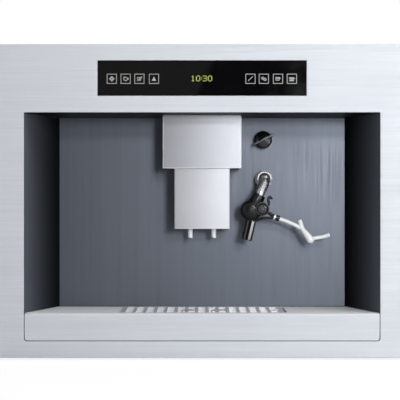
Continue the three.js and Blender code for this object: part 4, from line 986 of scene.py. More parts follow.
@dataclass
class Rails:
    """The telescopic rails under both sides of the casing."""

    edge: float = 0.25
    foot_x: float = 252.0
    foot_thickness: float = 1.5
    foot_holes: Row = (-148.0, -20.0, 120.0)
    washer_radius: float = 5.5
    washer_height: float = 0.6
    washer_edge: float = 0.15
    head_radius: float = 4.0
    head_height: float = 2.2
    ball_radius: float = 1.5
    ball_sides: int = 12
    ball_pitch: float = 14.0
    cage_margin: float = 30.0
    track_inset: float = 3.1
    track_offset: float = 1.6

    def build(self) -> None:
        """Refines the members and adds screws and ball cages."""
        for hand, side in (("left", -1), ("right", 1)):
            for member in ("outer", "middle", "inner"):
                refine(f"rail_{member}_{hand}", RAIL_ZINC, self.edge)
            self.add_screws(hand, side)
            self.add_cage(hand, side)

    def add_screws(self, hand: str, side: int) -> None:
        """Adds the screws and washers through the foot of one rail.

        Args:
            hand: left or right.
            side: -1 or 1.
        """
        mould = Mould()
        radius, height = self.washer_radius, self.washer_height
        washer = [(0, 0), (radius, 0), (radius, height), (0, height)]
        for y in self.foot_holes:
            seat = Vector((side * self.foot_x, y, self.foot_thickness))
            mould.lathe(washer, seat, UPWARD, 32, self.washer_edge)
            mould.screw(seat + Vector((0, 0, height)), UPWARD, self.head_radius, self.head_height)
        mould.finish(f"rail_screws_{hand}", "rails_fixed", CHROME)

    def add_cage(self, hand: str, side: int) -> None:
        """Adds the two rows of bearing balls in the middle member's tracks.

        Args:
            hand: left or right.
            side: -1 or 1.
        """
        member = Extent.of(f"rail_middle_{hand}")
        x = member.middle.x + side * self.track_offset
        count = int((member.high.y - member.low.y - 2 * self.cage_margin) // self.ball_pitch)
        mould = Mould()
        for i in range(count):
            y = member.low.y + self.cage_margin + i * self.ball_pitch
            for z in (member.low.z + self.track_inset, member.high.z - self.track_inset):
                mould.ball((x, y, z), self.ball_radius, self.ball_sides)
        mould.finish(f"rail_balls_{hand}", "rails_middle", CHROME)


@dataclass
class Casing:
    """Zinc-coated sheet round the works."""

    sheets: tuple[str, ...] = (
        "base_pan", "side_wall_left", "side_wall_right", "rear_wall", "top_cover", "chassis_shelf",
    )
    edge: float = 0.25
    bead_heights: Row = (96.0, 300.0)
    bead_way: Profile = ((-150.0, 0.6), (-60.0, 0.8), (60.0, 0.8), (150.0, 0.6))
    rivet: Profile = ((0, 0), (2.6, 0), (2.2, 0.7), (1.2, 1.05), (0, 1.1))
    rivet_columns: Row = (-186.0, -100.0, 0.0, 100.0, 186.0)
    rivet_rows: Row = (54.0, 430.0)
    screw_height: float = 1.2
    rear_screw: float = 3.2
    cover_screw: float = 3.0

    def build(self) -> None:
        """Refines the sheets and adds beads, rivets and screws."""
        for node in self.sheets:
            refine(node, ZINC, self.edge)
        for hand, side in (("left", -1), ("right", 1)):
            self.add_wall_details(hand, side)
        y = Extent.of("rear_wall").high.y
        spots = [(x, y, z) for x in (-256.0, -128.0, 0.0, 128.0, 256.0) for z in (20.0, 430.0)]
        spots += [(x, y, z) for z in (120.0, 225.0, 330.0) for x in (-258.0, 258.0)]
        self.add_screws("rear_screws", spots, REARWARD, self.rear_screw)
        z = Extent.of("top_cover").high.z
        spots = [(x, y, z) for y in (-185.0, -85.0, 115.0, 190.0) for x in (-261.0, 261.0)]
        spots += [(x, y, z) for x in (-60.0, 60.0) for y in (-188.0, 188.0)]
        self.add_screws("cover_screws", spots, UPWARD, self.cover_screw)

    def add_wall_details(self, hand: str, side: int) -> None:
        """Adds beads and rivets to one side wall.

        Args:
            hand: left or right.
            side: -1 or 1.
        """
        wall = Extent.of(f"side_wall_{hand}")
        x = wall.high.x if side > 0 else wall.low.x
        beads = Mould()
        for z in self.bead_heights:
            beads.tube([(x, y, z) for y, _ in self.bead_way], [radius for _, radius in self.bead_way], 16, 3)
        beads.finish(f"wall_beads_{hand}", "machine", ZINC)
        rivets = Mould()
        for y in self.rivet_columns:
            for z in self.rivet_rows:
                rivets.lathe(self.rivet, (x, y, z), (side, 0, 0), 20)
        rivets.finish(f"wall_rivets_{hand}", "machine", RAIL_ZINC)

    def add_screws(self, name: str, spots: Sequence[Point], axis: Point, radius: float) -> None:
        """Adds a set of screws as one piece.

        Args:
            name: The piece's name.
            spots: Middles of their seats.
            axis: The way the heads look.
            radius: Of the heads.
        """
        screws = Mould()
        for spot in spots:
            screws.screw(spot, axis, radius, self.screw_height)
        screws.finish(name, "machine", RAIL_ZINC)


@dataclass
class FrontPanel:
    """The brushed front with its two openings."""

    edge: float = 0.3
    fold_radius: float = 1.1

    def build(self) -> None:
        """Refines the panel, with a larger radius along its four folds."""
        panel = Extent.of("fascia")
        borders = ((0, panel.low.x), (0, panel.high.x), (2, panel.low.z), (2, panel.high.z))

        def on_fold(*ends: Vector) -> bool:
            """Whether an edge lies on the outer border of the face."""
            at_front = all(end.y < panel.low.y + TOUCH for end in ends)
            return at_front and any(all(abs(end[i] - side) < TOUCH for end in ends) for i, side in borders)

        refine("fascia", STEEL_FRONT, self.edge, fold=(on_fold, self.fold_radius))


class Mark(Enum):
    """The kinds of drawing that a symbol is made of."""

    LINE = "open line"
    LOOP = "closed line"
    RING = "ring"
    FILL = "filled shape"


LINE, LOOP, RING, FILL = Mark


class Symbol(Enum):
    """The pictures in the touch fields, in millimetres from a field's middle."""

    CLEAN = (
        (LOOP, (0, 3.4), (3.4, 0), (0, -3.4), (-3.4, 0)),
        (RING, (0, 0), 1.5),
    )
    RINSE = (
        (RING, (0, -0.2), 2.6),
        (LINE, (2.6, 0.8), (3.9, 0.8), (3.9, -0.8), (2.4, -1.2)),
        (LINE, (-3.4, 2.6), (-1.4, 2.6)),
    )
    NO_CUP = (
        (LOOP, (-3, 1.8), (2.2, 1.8), (1.6, -2.2), (-2.4, -2.2)),
        (LINE, (-3.4, -3.2), (3.6, 3.4)),
        (LINE, (-2.2, -3.2), (4.2, 2.6)),
    )
    STEAM = (
        (FILL, (0, 3.6), (1.1, 0.8), (3.3, -2.9), (-3.3, -2.9), (-1.1, 0.8)),
    )
    WAND = (
        (LINE, (-3.2, -3.2), (0.2, 0.4), (3.2, 3.2)),
        (FILL, (-3.4, -2.6), (-2.2, -0.4), (-0.6, -1.6)),
    )
    TWO_BEANS = (
        (RING, (-1.5, 0.7), 1.8),
        (RING, (1.6, -0.8), 1.8),
        (LINE, (-2.6, 1.8), (-0.4, -0.4)),
        (LINE, (0.6, 0.4), (2.7, -2.0)),
    )
    CUP = (
        (LOOP, (-3.2, 2.0), (2.0, 2.0), (1.6, -2.0), (-2.8, -2.0)),
        (LINE, (2.0, 1.2), (3.4, 1.0), (1.8, -1.0)),
        (LINE, (-2.8, 0.6), (1.8, 0.6)),
    )
    WIDE_CUP = (
        (LOOP, (-3.6, 1.6), (3.0, 1.6), (1.8, -1.8), (-2.4, -1.8)),
        (LINE, (-3.8, -2.8), (3.2, -2.8)),
        (LINE, (3.0, 1.2), (4.0, 0.4), (2.4, -0.4)),
        (FILL, (-2.4, 0.9), (1.8, 0.9), (1.2, -0.6), (-1.8, -0.6)),
    )


DIGITS = {
    "1": "..#.. .##.. ..#.. ..#.. ..#.. ..#.. .###.",
    "0": ".###. #...# #...# #...# #...# #...# .###.",
    "3": "####. ....# ....# .###. ....# ....# ####.",
    ":": ". . # . # . .",
}


@dataclass
class ControlGlass:
    """The black glass with its touch symbols and the display behind it."""

    glass_inset: float = 0.3
    glass_edge: float = 0.35
    print_height: float = 407.6
    print_depth: float = 0.05
    field_size: float = 14.4
    field_line: float = 0.85
    ink_width: float = 1.0
    ring_sides: int = 16
    columns: Row = (-130.9, -110.9, -90.9, -69.8, 70.1, 89.5, 110.0, 130.1)
    time_shown: str = "10:30"
    dot_rows: int = 7
    dot_pitch: float = 1.18
    dot_size: float = 0.92
    column_stretch: float = 1.05
    display_middle: Pair = (-0.9, 408.1)
    board_edge: float = 0.2
    chip_height: float = 2.2
    chip_edge: float = 0.25
    chips: Way = (
        (-95.0, 14.0, 10.0), (-30.0, 20.0, 16.0), (40.0, 9.0, 9.0), (100.0, 22.0, 8.0),
    )

    def build(self) -> None:
        """Makes the glass, the print on it and the lit display, and dresses the board."""
        glass = Extent.of("control_glass")
        face = glass.low.y + self.glass_inset
        Mould().box((glass.low.x, glass.high.x), (face, glass.high.y), (glass.low.z, glass.high.z)).finish(
            "control_panel_glass", "machine", BLACK_GLASS, ("control_glass",), rounding=self.glass_edge,
        )
        self.add_symbols(face - self.print_depth)
        self.add_display(face - self.print_depth)
        refine("display_board", BOARD, self.board_edge)
        self.add_board_parts()

    def add_symbols(self, y: float) -> None:
        """Adds the eight touch fields.

        Args:
            y: Depth of the print's face.
        """
        mould = Mould()
        half = (self.field_size - self.field_line) / 2
        square = [(-half, -half), (half, -half), (half, half), (-half, half)]
        for x, symbol in zip(self.columns, Symbol):
            def front(a: float, b: float, x: float = x) -> Vector:
                """A place in the field, from its middle."""
                return Vector((x + a, y, self.print_height + b))

            mould.stroke(square, self.field_line, front, self.print_depth, True)
            for mark in symbol.value:
                self.draw_mark(mould, mark, front)
        mould.finish("touch_symbols", "machine", SYMBOL_INK)

    def draw_mark(self, mould: Mould, mark: tuple, front: Front) -> None:
        """Draws one line, ring or filled shape of a symbol.

        Args:
            mould: Where it goes.
            mark: Its kind, and its points or the ring's middle and radius.
            front: Turns a pair into the place on the glass.
        """
        kind, *points = mark
        if kind is FILL:
            mould.patch(points, front, self.print_depth)
            return
        if kind is RING:
            middle, radius = points
            points = circle(radius, self.ring_sides, middle)
        mould.stroke(points, self.ink_width, front, self.print_depth, kind is not LINE)

    def add_display(self, y: float) -> None:
        """Adds the lit dots of the time.

        Args:
            y: Depth of the dots' face.
        """
        mould = Mould()
        half = self.dot_size / 2
        for row in range(self.dot_rows):
            line = ".".join(DIGITS[sign].split()[row] for sign in self.time_shown)
            z = self.display_middle[1] + ((self.dot_rows - 1) / 2 - row) * self.dot_pitch
            for column, mark in enumerate(line):
                if mark == "#":
                    offset = (column - (len(line) - 1) / 2) * self.dot_pitch * self.column_stretch
                    x = self.display_middle[0] + offset
                    mould.box((x - half, x + half), (y, y + self.print_depth), (z - half, z + half))
        mould.finish("display_time", "machine", DISPLAY_DOTS)

    def add_board_parts(self) -> None:
        """Adds the chips on the rear of the display's board."""
        board = Extent.of("display_board")
        ys, z = (board.high.y, board.high.y + self.chip_height), board.middle.z
        mould = Mould()
        for x, wide, tall in self.chips:
            mould.box((x - wide / 2, x + wide / 2), ys, (z - tall / 2, z + tall / 2), self.chip_edge)
        mould.finish("display_chips", "machine", BLACK_PLASTIC)


@dataclass
class CupCavity:
    """The dark lining of the place where cups stand."""

    edge: float = 0.2

    def build(self) -> None:
        """Refines the four sheets."""
        # the roof gets the darker copy of the lining steel as painted shade, and the cheeks carry painted
        # shade towards the rear
        for node, steel in (
            ("back_plate", STEEL_LINER), ("cavity_roof", STEEL_ROOF_SHADED),
            ("cavity_cheek_left", STEEL_CHEEK), ("cavity_cheek_right", STEEL_CHEEK),
        ):
            refine(node, steel, self.edge)


@dataclass
class CoffeeOutlet:
    """The fixed housing and the sliding spout with its two nozzles."""

    housing_edge: float = 1.2
    spout_edge: float = 1.0
    nozzle_radius: float = 3.6
    nozzle_bore: float = 2.1
    collar_height: float = 1.5
    tip_height: float = 2.0
    tip_slant: float = 0.22

    def build(self) -> None:
        """Refines the two shells, with a near-white painted highlight on their rounded edges, and turns the
        nozzles.
        """
        for node, edge, paint in (
            ("outlet_housing", self.housing_edge, SATIN_SILVER),
            ("spout_block", self.spout_edge, PALE_SILVER),
        ):
            shell = refine(node, paint, edge)
            # Painted highlight: the bevel faces get the near-white copy of the paint.
            shell.data.materials.append(EDGE_HIGHLIGHT_PAINT.material())
            shell.modifiers["rounded"].material = 1
        for hand in ("left", "right"):
            self.add_nozzle(hand)
        refine("coffee_pipe", SILICONE, 0.0, HOSE_SMOOTH)

    def add_nozzle(self, hand: str) -> None:
        """Turns one nozzle, with a rounded tip that is cut at a slant.

        Args:
            hand: left or right.
        """
        node = Extent.of(f"spout_nozzle_{hand}")
        middle, low = node.middle, node.low.z
        length, collar = node.high.z - low, (node.high.x - node.low.x) / 2
        radius, bore, neck = self.nozzle_radius, self.nozzle_bore, length - self.collar_height
        mould = Mould().lathe([
            (bore, 1.0), (bore + 0.35, 0.35), (radius - 0.9, 0), (radius - 0.3, 0.5), (radius, 1.5),
            (radius, neck), (collar, neck), (collar, length), (bore, length),
        ], (middle.x, middle.y, low))
        for corner in mould.mesh.verts:
            if corner.co.z < low + self.tip_height:
                corner.co.z += self.tip_slant * (middle.x - corner.co.x)
        mould.finish(f"nozzle_{hand}", "spout", SATIN_NICKEL, (f"spout_nozzle_{hand}",))


@dataclass
class SteamKnob:
    """The black knob with its bright bar, and the valve behind it."""

    radius: float = 13.8
    rim: float = 8.0
    reach: float = 19.5
    crown_radius: float = 10.2
    crown_height: float = 2.6
    crown_swell: float = 1.15
    shaft: float = 4.0
    gap: float = 1.0
    valve_axis: Pair = (94.0, 324.5)
    nut_bore: float = 5.2
    nut_radius: float = 8.0
    nut_height: float = 5.0
    nut_offset: float = 5.6
    nut_edge: float = 0.3
    nut_sides: int = 6
    bar_edge: float = 0.9
    valve_edge: float = 0.5

    def build(self) -> None:
        """Turns the knob, refines the bar and the valve, and adds the valve's nut."""
        self.add_dome()
        refine("knob_bar", SMOKED_CHROME, self.bar_edge)
        refine("steam_valve", BRASS, self.valve_edge)
        x, z = self.valve_axis
        bore, radius, height = self.nut_bore, self.nut_radius, self.nut_height
        seat = (x, Extent.of("steam_valve").high.y - self.nut_offset, z)
        nut = [(bore, 0), (radius, 0), (radius, height), (bore, height)]
        Mould().lathe(nut, seat, REARWARD, self.nut_sides, self.nut_edge).finish(
            "valve_nut", "machine", BRASS, smooth=25.0,
        )

    def add_dome(self) -> None:
        """Turns the knob as one smooth dome on its shaft."""
        knob = Extent.of("steam_knob")
        plate = Extent.of("back_plate").low.y
        shaft_end = plate - knob.high.y
        shoulder = self.radius - self.crown_radius
        rise = self.reach - self.crown_height - self.rim
        dome = [
            (self.crown_radius + shoulder * math.cos(turn), self.rim + rise * math.sin(turn))
            for turn in map(math.radians, range(0, 80, 10))
        ]
        crown = [
            (self.crown_radius * share, self.reach - self.crown_height * share ** self.crown_swell)
            for share in (0.9, 0.7, 0.5, 0.3, 0.12, 0)
        ]
        Mould().lathe([
            (0, shaft_end), (self.shaft, shaft_end), (self.shaft, self.gap), (self.radius - 0.6, self.gap),
            (self.radius - 0.1, self.gap + 0.5), *dome, *crown,
        ], (knob.middle.x, plate, knob.middle.z), FORWARD, 64).finish(
            "steam_knob_dome", "steam_knob", BLACK_GLOSS, ("steam_knob",),
        )


@dataclass
class SteamWand:
    """The chrome wand with the black milk frother and the white suction tube."""

    pipe_way: Way = (
        (95.0, -116.0, 264.5), (93.6, -121.0, 256.0), (88.8, -126.8, 245.0), (85.6, -130.0, 234.0),
        (82.6, -130.0, 226.0),
    )
    pipe_radii: Row = (8.6, 8.45, 7.5, 6.15, 5.3)
    ball_radius: float = 9.0
    suction_way: Way = (
        (112.4, -130.0, 205.2), (130.2, -130.0, 198.9), (142.7, -130.0, 192.9), (149.0, -130.0, 189.1),
    )
    suction_radius: float = 2.75
    elbow_stub: Point = (147.4, -130.0, 201.8)
    elbow_fork: Point = (151.5, -130.0, 188.2)
    elbow_ball: Point = (163.9, -130.0, 172.1)
    elbow_radius: float = 5.9
    stub_radii: Pair = (3.0, 3.6)
    stem_radius: float = 3.5
    outlet_way: Way = (
        (163.9, -130.0, 173.1), (175.0, -130.0, 175.1), (185.0, -130.0, 176.9), (192.8, -130.0, 179.6),
    )
    outlet_radius: float = 3.0
    grain_size: float = 0.55
    dial_face: Point = (90.4, -146.0, 218.4)
    ring: Profile = ((6.4, 0), (6.9, 0.45), (8.3, 0.45), (8.8, 0))
    hub: Profile = ((0, 0), (2.6, 0), (2.3, 0.5), (0, 0.7))
    hub_height: float = 1.8
    arm_end: Point = (114.3, -130.0, 204.5)
    arm_run: Point = (0.9303, 0.0, -0.3669)
    ferrule: Profile = ((2.5, 0), (3.7, 0), (3.7, 2.6), (2.5, 2.6))
    ferrule_inset: float = 6.2
    ferrule_edge: float = 0.3
    moulded_smooth: float = 38.0
    nozzle_top: Point = (73.9, -130.0, 201.2)
    nozzle_tip: Point = (67.0, -130.0, 171.5)
    nozzle_radius: float = 8.1
    nozzle_bore: float = 3.6
    spigot: float = 5.5
    flat_turn: float = 26.0
    flat_half: float = 13.6

    def build(self) -> None:
        """Builds each piece in turn."""
        for node in ("wand_socket", "wand_collar"):
            refine(node, SATIN_NICKEL, 0.4, TURNED_SMOOTH)
        mould = Mould().ball(self.pipe_way[0], self.ball_radius, 48)
        mould.tube(self.pipe_way, self.pipe_radii, 40, 8)
        mould.finish("wand_tube", "wand", WORN_CHROME, ("wand_pipe",), HOSE_SMOOTH)
        refine("frother_body", BLACK_SATIN, 0.7, self.moulded_smooth)
        self.add_nozzle()
        for node in ("frother_arm", "frother_dial"):
            refine(node, BLACK_SATIN, 0.4, self.moulded_smooth)
        self.add_trim()
        Mould().tube(self.suction_way, self.suction_radius, 32, 8).finish(
            "suction_pipe", "suction", WHITE_PLASTIC, ("suction_tube",), HOSE_SMOOTH,
        )
        self.add_elbow()

    def add_elbow(self) -> None:
        """Adds the suction elbow: stub, swelling stem, ball and outlet, fused with soft fillets."""
        mould = Mould().ball(self.elbow_ball, self.elbow_radius)
        mould.tube([self.elbow_stub, self.elbow_fork], self.stub_radii, 32, 2)
        mould.tube([self.elbow_fork, self.elbow_ball], [self.stem_radius, self.elbow_radius], 32, 4)
        mould.tube(self.outlet_way, self.outlet_radius, 32, 6)
        elbow = mould.finish("suction_elbow_soft", "suction", WHITE_PLASTIC, ("suction_elbow",), 180.0)
        fused = elbow.modifiers.new("fused", "REMESH")
        fused.mode = "VOXEL"
        fused.voxel_size = self.grain_size * MILLIMETRE
        fused.use_smooth_shade = True
        softened = elbow.modifiers.new("softened", "SMOOTH")
        softened.factor = 0.5
        softened.iterations = 5

    def add_nozzle(self) -> None:
        """Turns the frother's nozzle, with the narrow flat that runs down its front right."""
        top, tip = Vector(self.nozzle_top), Vector(self.nozzle_tip)
        length = (tip - top).length
        run = (tip - top) / length
        radius, bore, spigot = self.nozzle_radius, self.nozzle_bore, self.spigot
        mould = Mould().lathe([
            (bore, -spigot), (spigot, -spigot), (spigot, 0.3), (radius - 0.4, 0.3), (radius, 0.8),
            (radius, length - 0.9), (radius - 0.8, length), (bore, length),
        ], top, run, 64)
        turn = math.radians(self.flat_turn)
        outward = Vector((math.sin(turn), -math.cos(turn), 0.0))
        outward = (outward - run * outward.dot(run)).normalized()
        depth = radius * math.cos(math.radians(self.flat_half))
        for corner in mould.mesh.verts:
            past = (corner.co - top).dot(outward) - depth
            if past > 0:
                corner.co -= outward * past
        mould.finish("frother_spout", "wand", BLACK_GLOSS, ("frother_nozzle",), 8.0)

    def add_trim(self) -> None:
        """Adds the dial's ring and hub, and the bright ferrule at the end of the arm."""
        face = Vector(self.dial_face)
        ring = Mould().lathe(self.ring, face, FORWARD)
        ring.finish("dial_ring", "frother_dial", BLACK_GLOSS, smooth=TURNED_SMOOTH)
        hub = Mould().lathe(self.hub, face + self.hub_height * Vector(FORWARD), FORWARD, 32)
        hub.finish("dial_hub", "frother_dial", DARK_PLASTIC, smooth=TURNED_SMOOTH)
        start = Vector(self.arm_end) - self.ferrule_inset * Vector(self.arm_run)
        Mould().lathe(self.ferrule, start, self.arm_run, 32, self.ferrule_edge).finish(
            "arm_ferrule", "wand", SATIN_NICKEL,
        )


@dataclass
class DripDrawer:
    """The drawer under the cups: front, basin, grounds box, grid and float."""

    edge: float = 0.3
    front_radius: float = 2.6
    level_share: float = 0.95
    seal: float = 0.6
    seal_gap: float = 0.3
    seal_depths: Pair = (0.9, 8.0)
    seal_edge: float = 0.12
    seal_foot: float = 5.0
    seal_top: float = 2.0
    grid_edge: float = 0.35
    moulded_edge: float = 0.6

    def build(self) -> None:
        """Refines the drawer's pieces."""
        front = Extent.of("tray_front")

        def on_bend(*ends: Vector) -> bool:
            """Whether an edge is the bend from the front to the deck."""
            misses = [gap for end in ends for gap in (end.y - front.low.y, end.z - front.high.z)]
            return max(map(abs, misses)) < TOUCH

        tray = refine("tray_front", STEEL_FRONT, self.edge, fold=(on_bend, self.front_radius))
        # Painted light: the upward faces of the tray's sheet get the lighter copy of its steel.
        tray.data.materials.append(STEEL_DECK_LIT.material())
        for face in tray.data.polygons:
            if face.normal.z > self.level_share:
                face.material_index = 1
        self.add_seal(front)
        refine("cup_grid", STEEL_GRID, self.grid_edge)
        refine("drip_basin", GREY_PLASTIC, self.moulded_edge)
        refine("grounds_box", DARK_PLASTIC, self.moulded_edge)
        refine("drip_float", RED_PLASTIC, self.moulded_edge)

    def add_seal(self, front: Extent) -> None:
        """Adds the pale seal that closes the seam round the drawer's front.

        Args:
            front: The box of the drawer's front.
        """
        ys = tuple(front.low.y + depth for depth in self.seal_depths)
        near, far = self.seal_gap, self.seal_gap + self.seal
        upright = (front.low.z + self.seal_foot, front.high.z - self.seal_top)
        across = (front.low.x + self.seal_foot, front.high.x - self.seal_foot)
        mould = Mould()
        for xs, zs in (
            ((front.low.x - far, front.low.x - near), upright),
            ((front.high.x + near, front.high.x + far), upright),
            (across, (front.low.z - far, front.low.z - near)),
        ):
            mould.box(xs, ys, zs, self.seal_edge)
        mould.finish("drawer_seal", "drawer", GREY_PLASTIC)


@dataclass
class BrewUnit:
    """The brewing chamber, its spindle and motor in their frame."""

    thread_pitch: float = 4.0
    thread_radius: float = 3.95
    thread_width: float = 0.3
    thread_steps: int = 12
    foot_clear: float = 22.0
    head_clear: float = 10.0

    def build(self) -> None:
        """Refines the frame, motor and chamber, and winds a thread round the spindle."""
        for node, finish, edge in (
            ("brew_frame", GREY_PLASTIC, 0.6), ("brew_motor", DARK_PLASTIC, 0.8),
            ("brew_chamber", DARK_PLASTIC, 0.6), ("brew_spindle", RAIL_ZINC, 0.2),
        ):
            refine(node, finish, edge)
        self.add_thread()

    def add_thread(self) -> None:
        """Winds the thread on the spindle, inside the running gap of the chamber's nut."""
        spindle = Extent.of("brew_spindle")
        low, high = spindle.low.z + self.foot_clear, spindle.high.z - self.head_clear
        steps = self.thread_steps
        count = int((high - low) / self.thread_pitch) * steps
        turn = circle(self.thread_radius, steps, (spindle.middle.x, spindle.middle.y))
        points = [(*turn[i % steps], low + i * self.thread_pitch / steps) for i in range(count + 1)]
        thread = Mould().tube(points, self.thread_width, 6, 1)
        thread.finish("spindle_thread", "brew_spindle", RAIL_ZINC, smooth=HOSE_SMOOTH)


GRIP_RIBS = ((13.0, 22.0, 2.2), (20.0, 18.0, 0.8), (24.0, 18.0, 0.8))
GRIP_HALF_WIDTH = 1.1
GRIP_EDGE = 0.5


def add_lid_grip(lid: str) -> None:
    """Adds the finger bar near the front edge of a lid, with two fine ribs beside it.

    Args:
        lid: The lid's node, which is also its body.
    """
    cover = Extent.of(lid)
    x, top = cover.middle.x, cover.high.z
    mould = Mould()
    for offset, half_length, height in GRIP_RIBS:
        y = cover.low.y + offset
        mould.box((x - half_length, x + half_length), (y - GRIP_HALF_WIDTH, y + GRIP_HALF_WIDTH),
                  (top - SUNK, top + height), GRIP_EDGE)
    mould.finish(f"{lid}_grip", lid, DARK_PLASTIC)


@dataclass
class Grinder:
    """The grinder with the bean hopper, its lid and the grind setting."""

    knob_ribs: int = 24
    rib_radius: float = 0.4
    rib_inset: float = 0.1
    rib_span: Pair = (-5.6, -1.7)
    pointer_half_width: float = 0.9
    pointer_span: Pair = (-9.5, 2.0)
    pointer_height: float = 0.7
    pointer_edge: float = 0.25

    def build(self) -> None:
        """Refines the grinder, hopper, lid and knob, and adds their grips."""
        for node, plastic, edge in (
            ("grinder_body", DARK_PLASTIC, 0.5), ("bean_hopper", CLEAR, 0.3),
            ("hopper_lid", DARK_PLASTIC, 0.5), ("grind_knob", BLACK_PLASTIC, 0.4),
        ):
            refine(node, plastic, edge)
        self.add_knob_grip()
        add_lid_grip("hopper_lid")

    def add_knob_grip(self) -> None:
        """Adds the ribs round the grind knob, and the pointer on its top."""
        knob = Extent.of("grind_knob")
        middle, top = knob.middle, knob.high.z
        rim = (knob.high.x - knob.low.x) / 2 - self.rib_inset
        mould = Mould()
        for x, y in circle(rim, self.knob_ribs, (middle.x, middle.y)):
            mould.tube([(x, y, top + height) for height in self.rib_span], self.rib_radius, 8, 1)
        mould.box((middle.x - self.pointer_half_width, middle.x + self.pointer_half_width),
                  tuple(middle.y + offset for offset in self.pointer_span),
                  (top - SUNK, top + self.pointer_height), self.pointer_edge)
        mould.finish("grind_knob_grip", "grind_knob", BLACK_PLASTIC)


@dataclass
class WaterSide:
    """Tank, stand, pump, heater and the pipes between them."""

    mark_pitch: float = 30.0
    mark_count: int = 6
    mark_start: float = 40.0
    mark_inset: float = 12.0
    mark_width: float = 0.9
    mark_edge: float = 0.05
    mark_depths: Pair = (-0.15, 0.1)
    long_mark: float = 22.0
    short_mark: float = 12.0

    def build(self) -> None:
        """Refines the pieces of the water side, and adds the tank's marks and its lid's grip."""
        self.add_level_marks()
        add_lid_grip("tank_lid")
        for node, finish, edge in (
            ("water_tank", CLEAR, 0.4), ("tank_lid", DARK_PLASTIC, 0.5), ("tank_stand", ZINC, 0.3),
            ("thermoblock", CAST, 0.6), ("pump", DARK_PLASTIC, 0.5),
        ):
            refine(node, finish, edge)
        for node in ("water_hose", "steam_pipe", "hot_water_pipe"):
            refine(node, SILICONE, 0.0, HOSE_SMOOTH)

    def add_level_marks(self) -> None:
        """Adds the plain level lines on the front of the tank, longer at the lowest and the highest."""
        tank = Extent.of("water_tank")
        x = tank.low.x + self.mark_inset
        ys = tuple(tank.low.y + depth for depth in self.mark_depths)
        mould = Mould()
        for i in range(self.mark_count):
            z = tank.low.z + self.mark_start + i * self.mark_pitch
            reach = self.long_mark if i in (0, self.mark_count - 1) else self.short_mark
            mould.box((x, x + reach), ys, (z, z + self.mark_width), self.mark_edge)
        mould.finish("tank_level_marks", "water_tank", SYMBOL_INK)


@dataclass
class Electrics:
    """The power board and the mains inlet with its switch."""

    line_way: Way = ((-200.0, 196.5, 140.3), (-200.0, 196.5, 137.3))
    line_radius: float = 0.4
    ring_middle: Point = (-200.0, 196.6, 131.6)
    ring: Profile = ((1.35, 0), (1.45, 0.25), (2.0, 0.25), (2.1, 0))

    def build(self) -> None:
        """Refines the board, the inlet and the switch."""
        self.add_rocker_marks()
        refine("power_board", BOARD, 0.4)
        refine("mains_inlet", BLACK_PLASTIC, 0.5)
        refine("mains_rocker", BLACK_PLASTIC, 0.4)

    def add_rocker_marks(self) -> None:
        """Adds the plain line and ring on the rocker, for on and off."""
        marks = Mould().tube(self.line_way, self.line_radius, 12, 1)
        marks.lathe(self.ring, self.ring_middle, REARWARD, 32)
        marks.finish("mains_rocker_marks", "mains_rocker", WHITE_PLASTIC, smooth=TURNED_SMOOTH)


# ------------------------------------------------------------------ light and camera


@dataclass(frozen=True)
class Lamp:
    """A soft area lamp: where it stands, what it points at and its size in metres, and its power in watts."""

    name: str
    place: Point
    aim: Point
    size: Pair
    watts: float


@dataclass(frozen=True)
class Card:
    """An upright card: the ends of its foot and its two heights in metres, and how bright it looks."""

    name: str
    start: Pair
    end: Pair
    heights: Pair
    level: float


LAMPS = (
    Lamp("key", (0.5, -2.05, 0.48), (0.0, 0.0, 0.22), (0.3, 0.3), 12.2),
    Lamp("brow", (0.5, -1.9, 0.86), (0.0, 0.0, 0.3), (0.3, 0.2), 8.0),
    Lamp("top", (0.75, -0.65, 1.4), (0.0, -0.15, 0.1), (0.6, 0.6), 7.0),
)
CARDS = (
    Card("front_card", (-1.7, -2.3), (1.7, -2.3), (-0.6, 2.2), 0.035),
    Card("right_card", (1.05, -1.65), (1.63, -1.03), (0.0, 0.5), 2.2),
    Card("left_card", (-1.3, -1.6), (-0.6, -1.9), (0.0, 0.3), 0.9),
    Card("knob_card", (0.56, -1.64), (0.92, -1.48), (0.01, 0.42), 3.2),
    Card("stripe_card", (0.58, -0.66), (0.7, -0.55), (0.02, 0.15), 10.0),
)


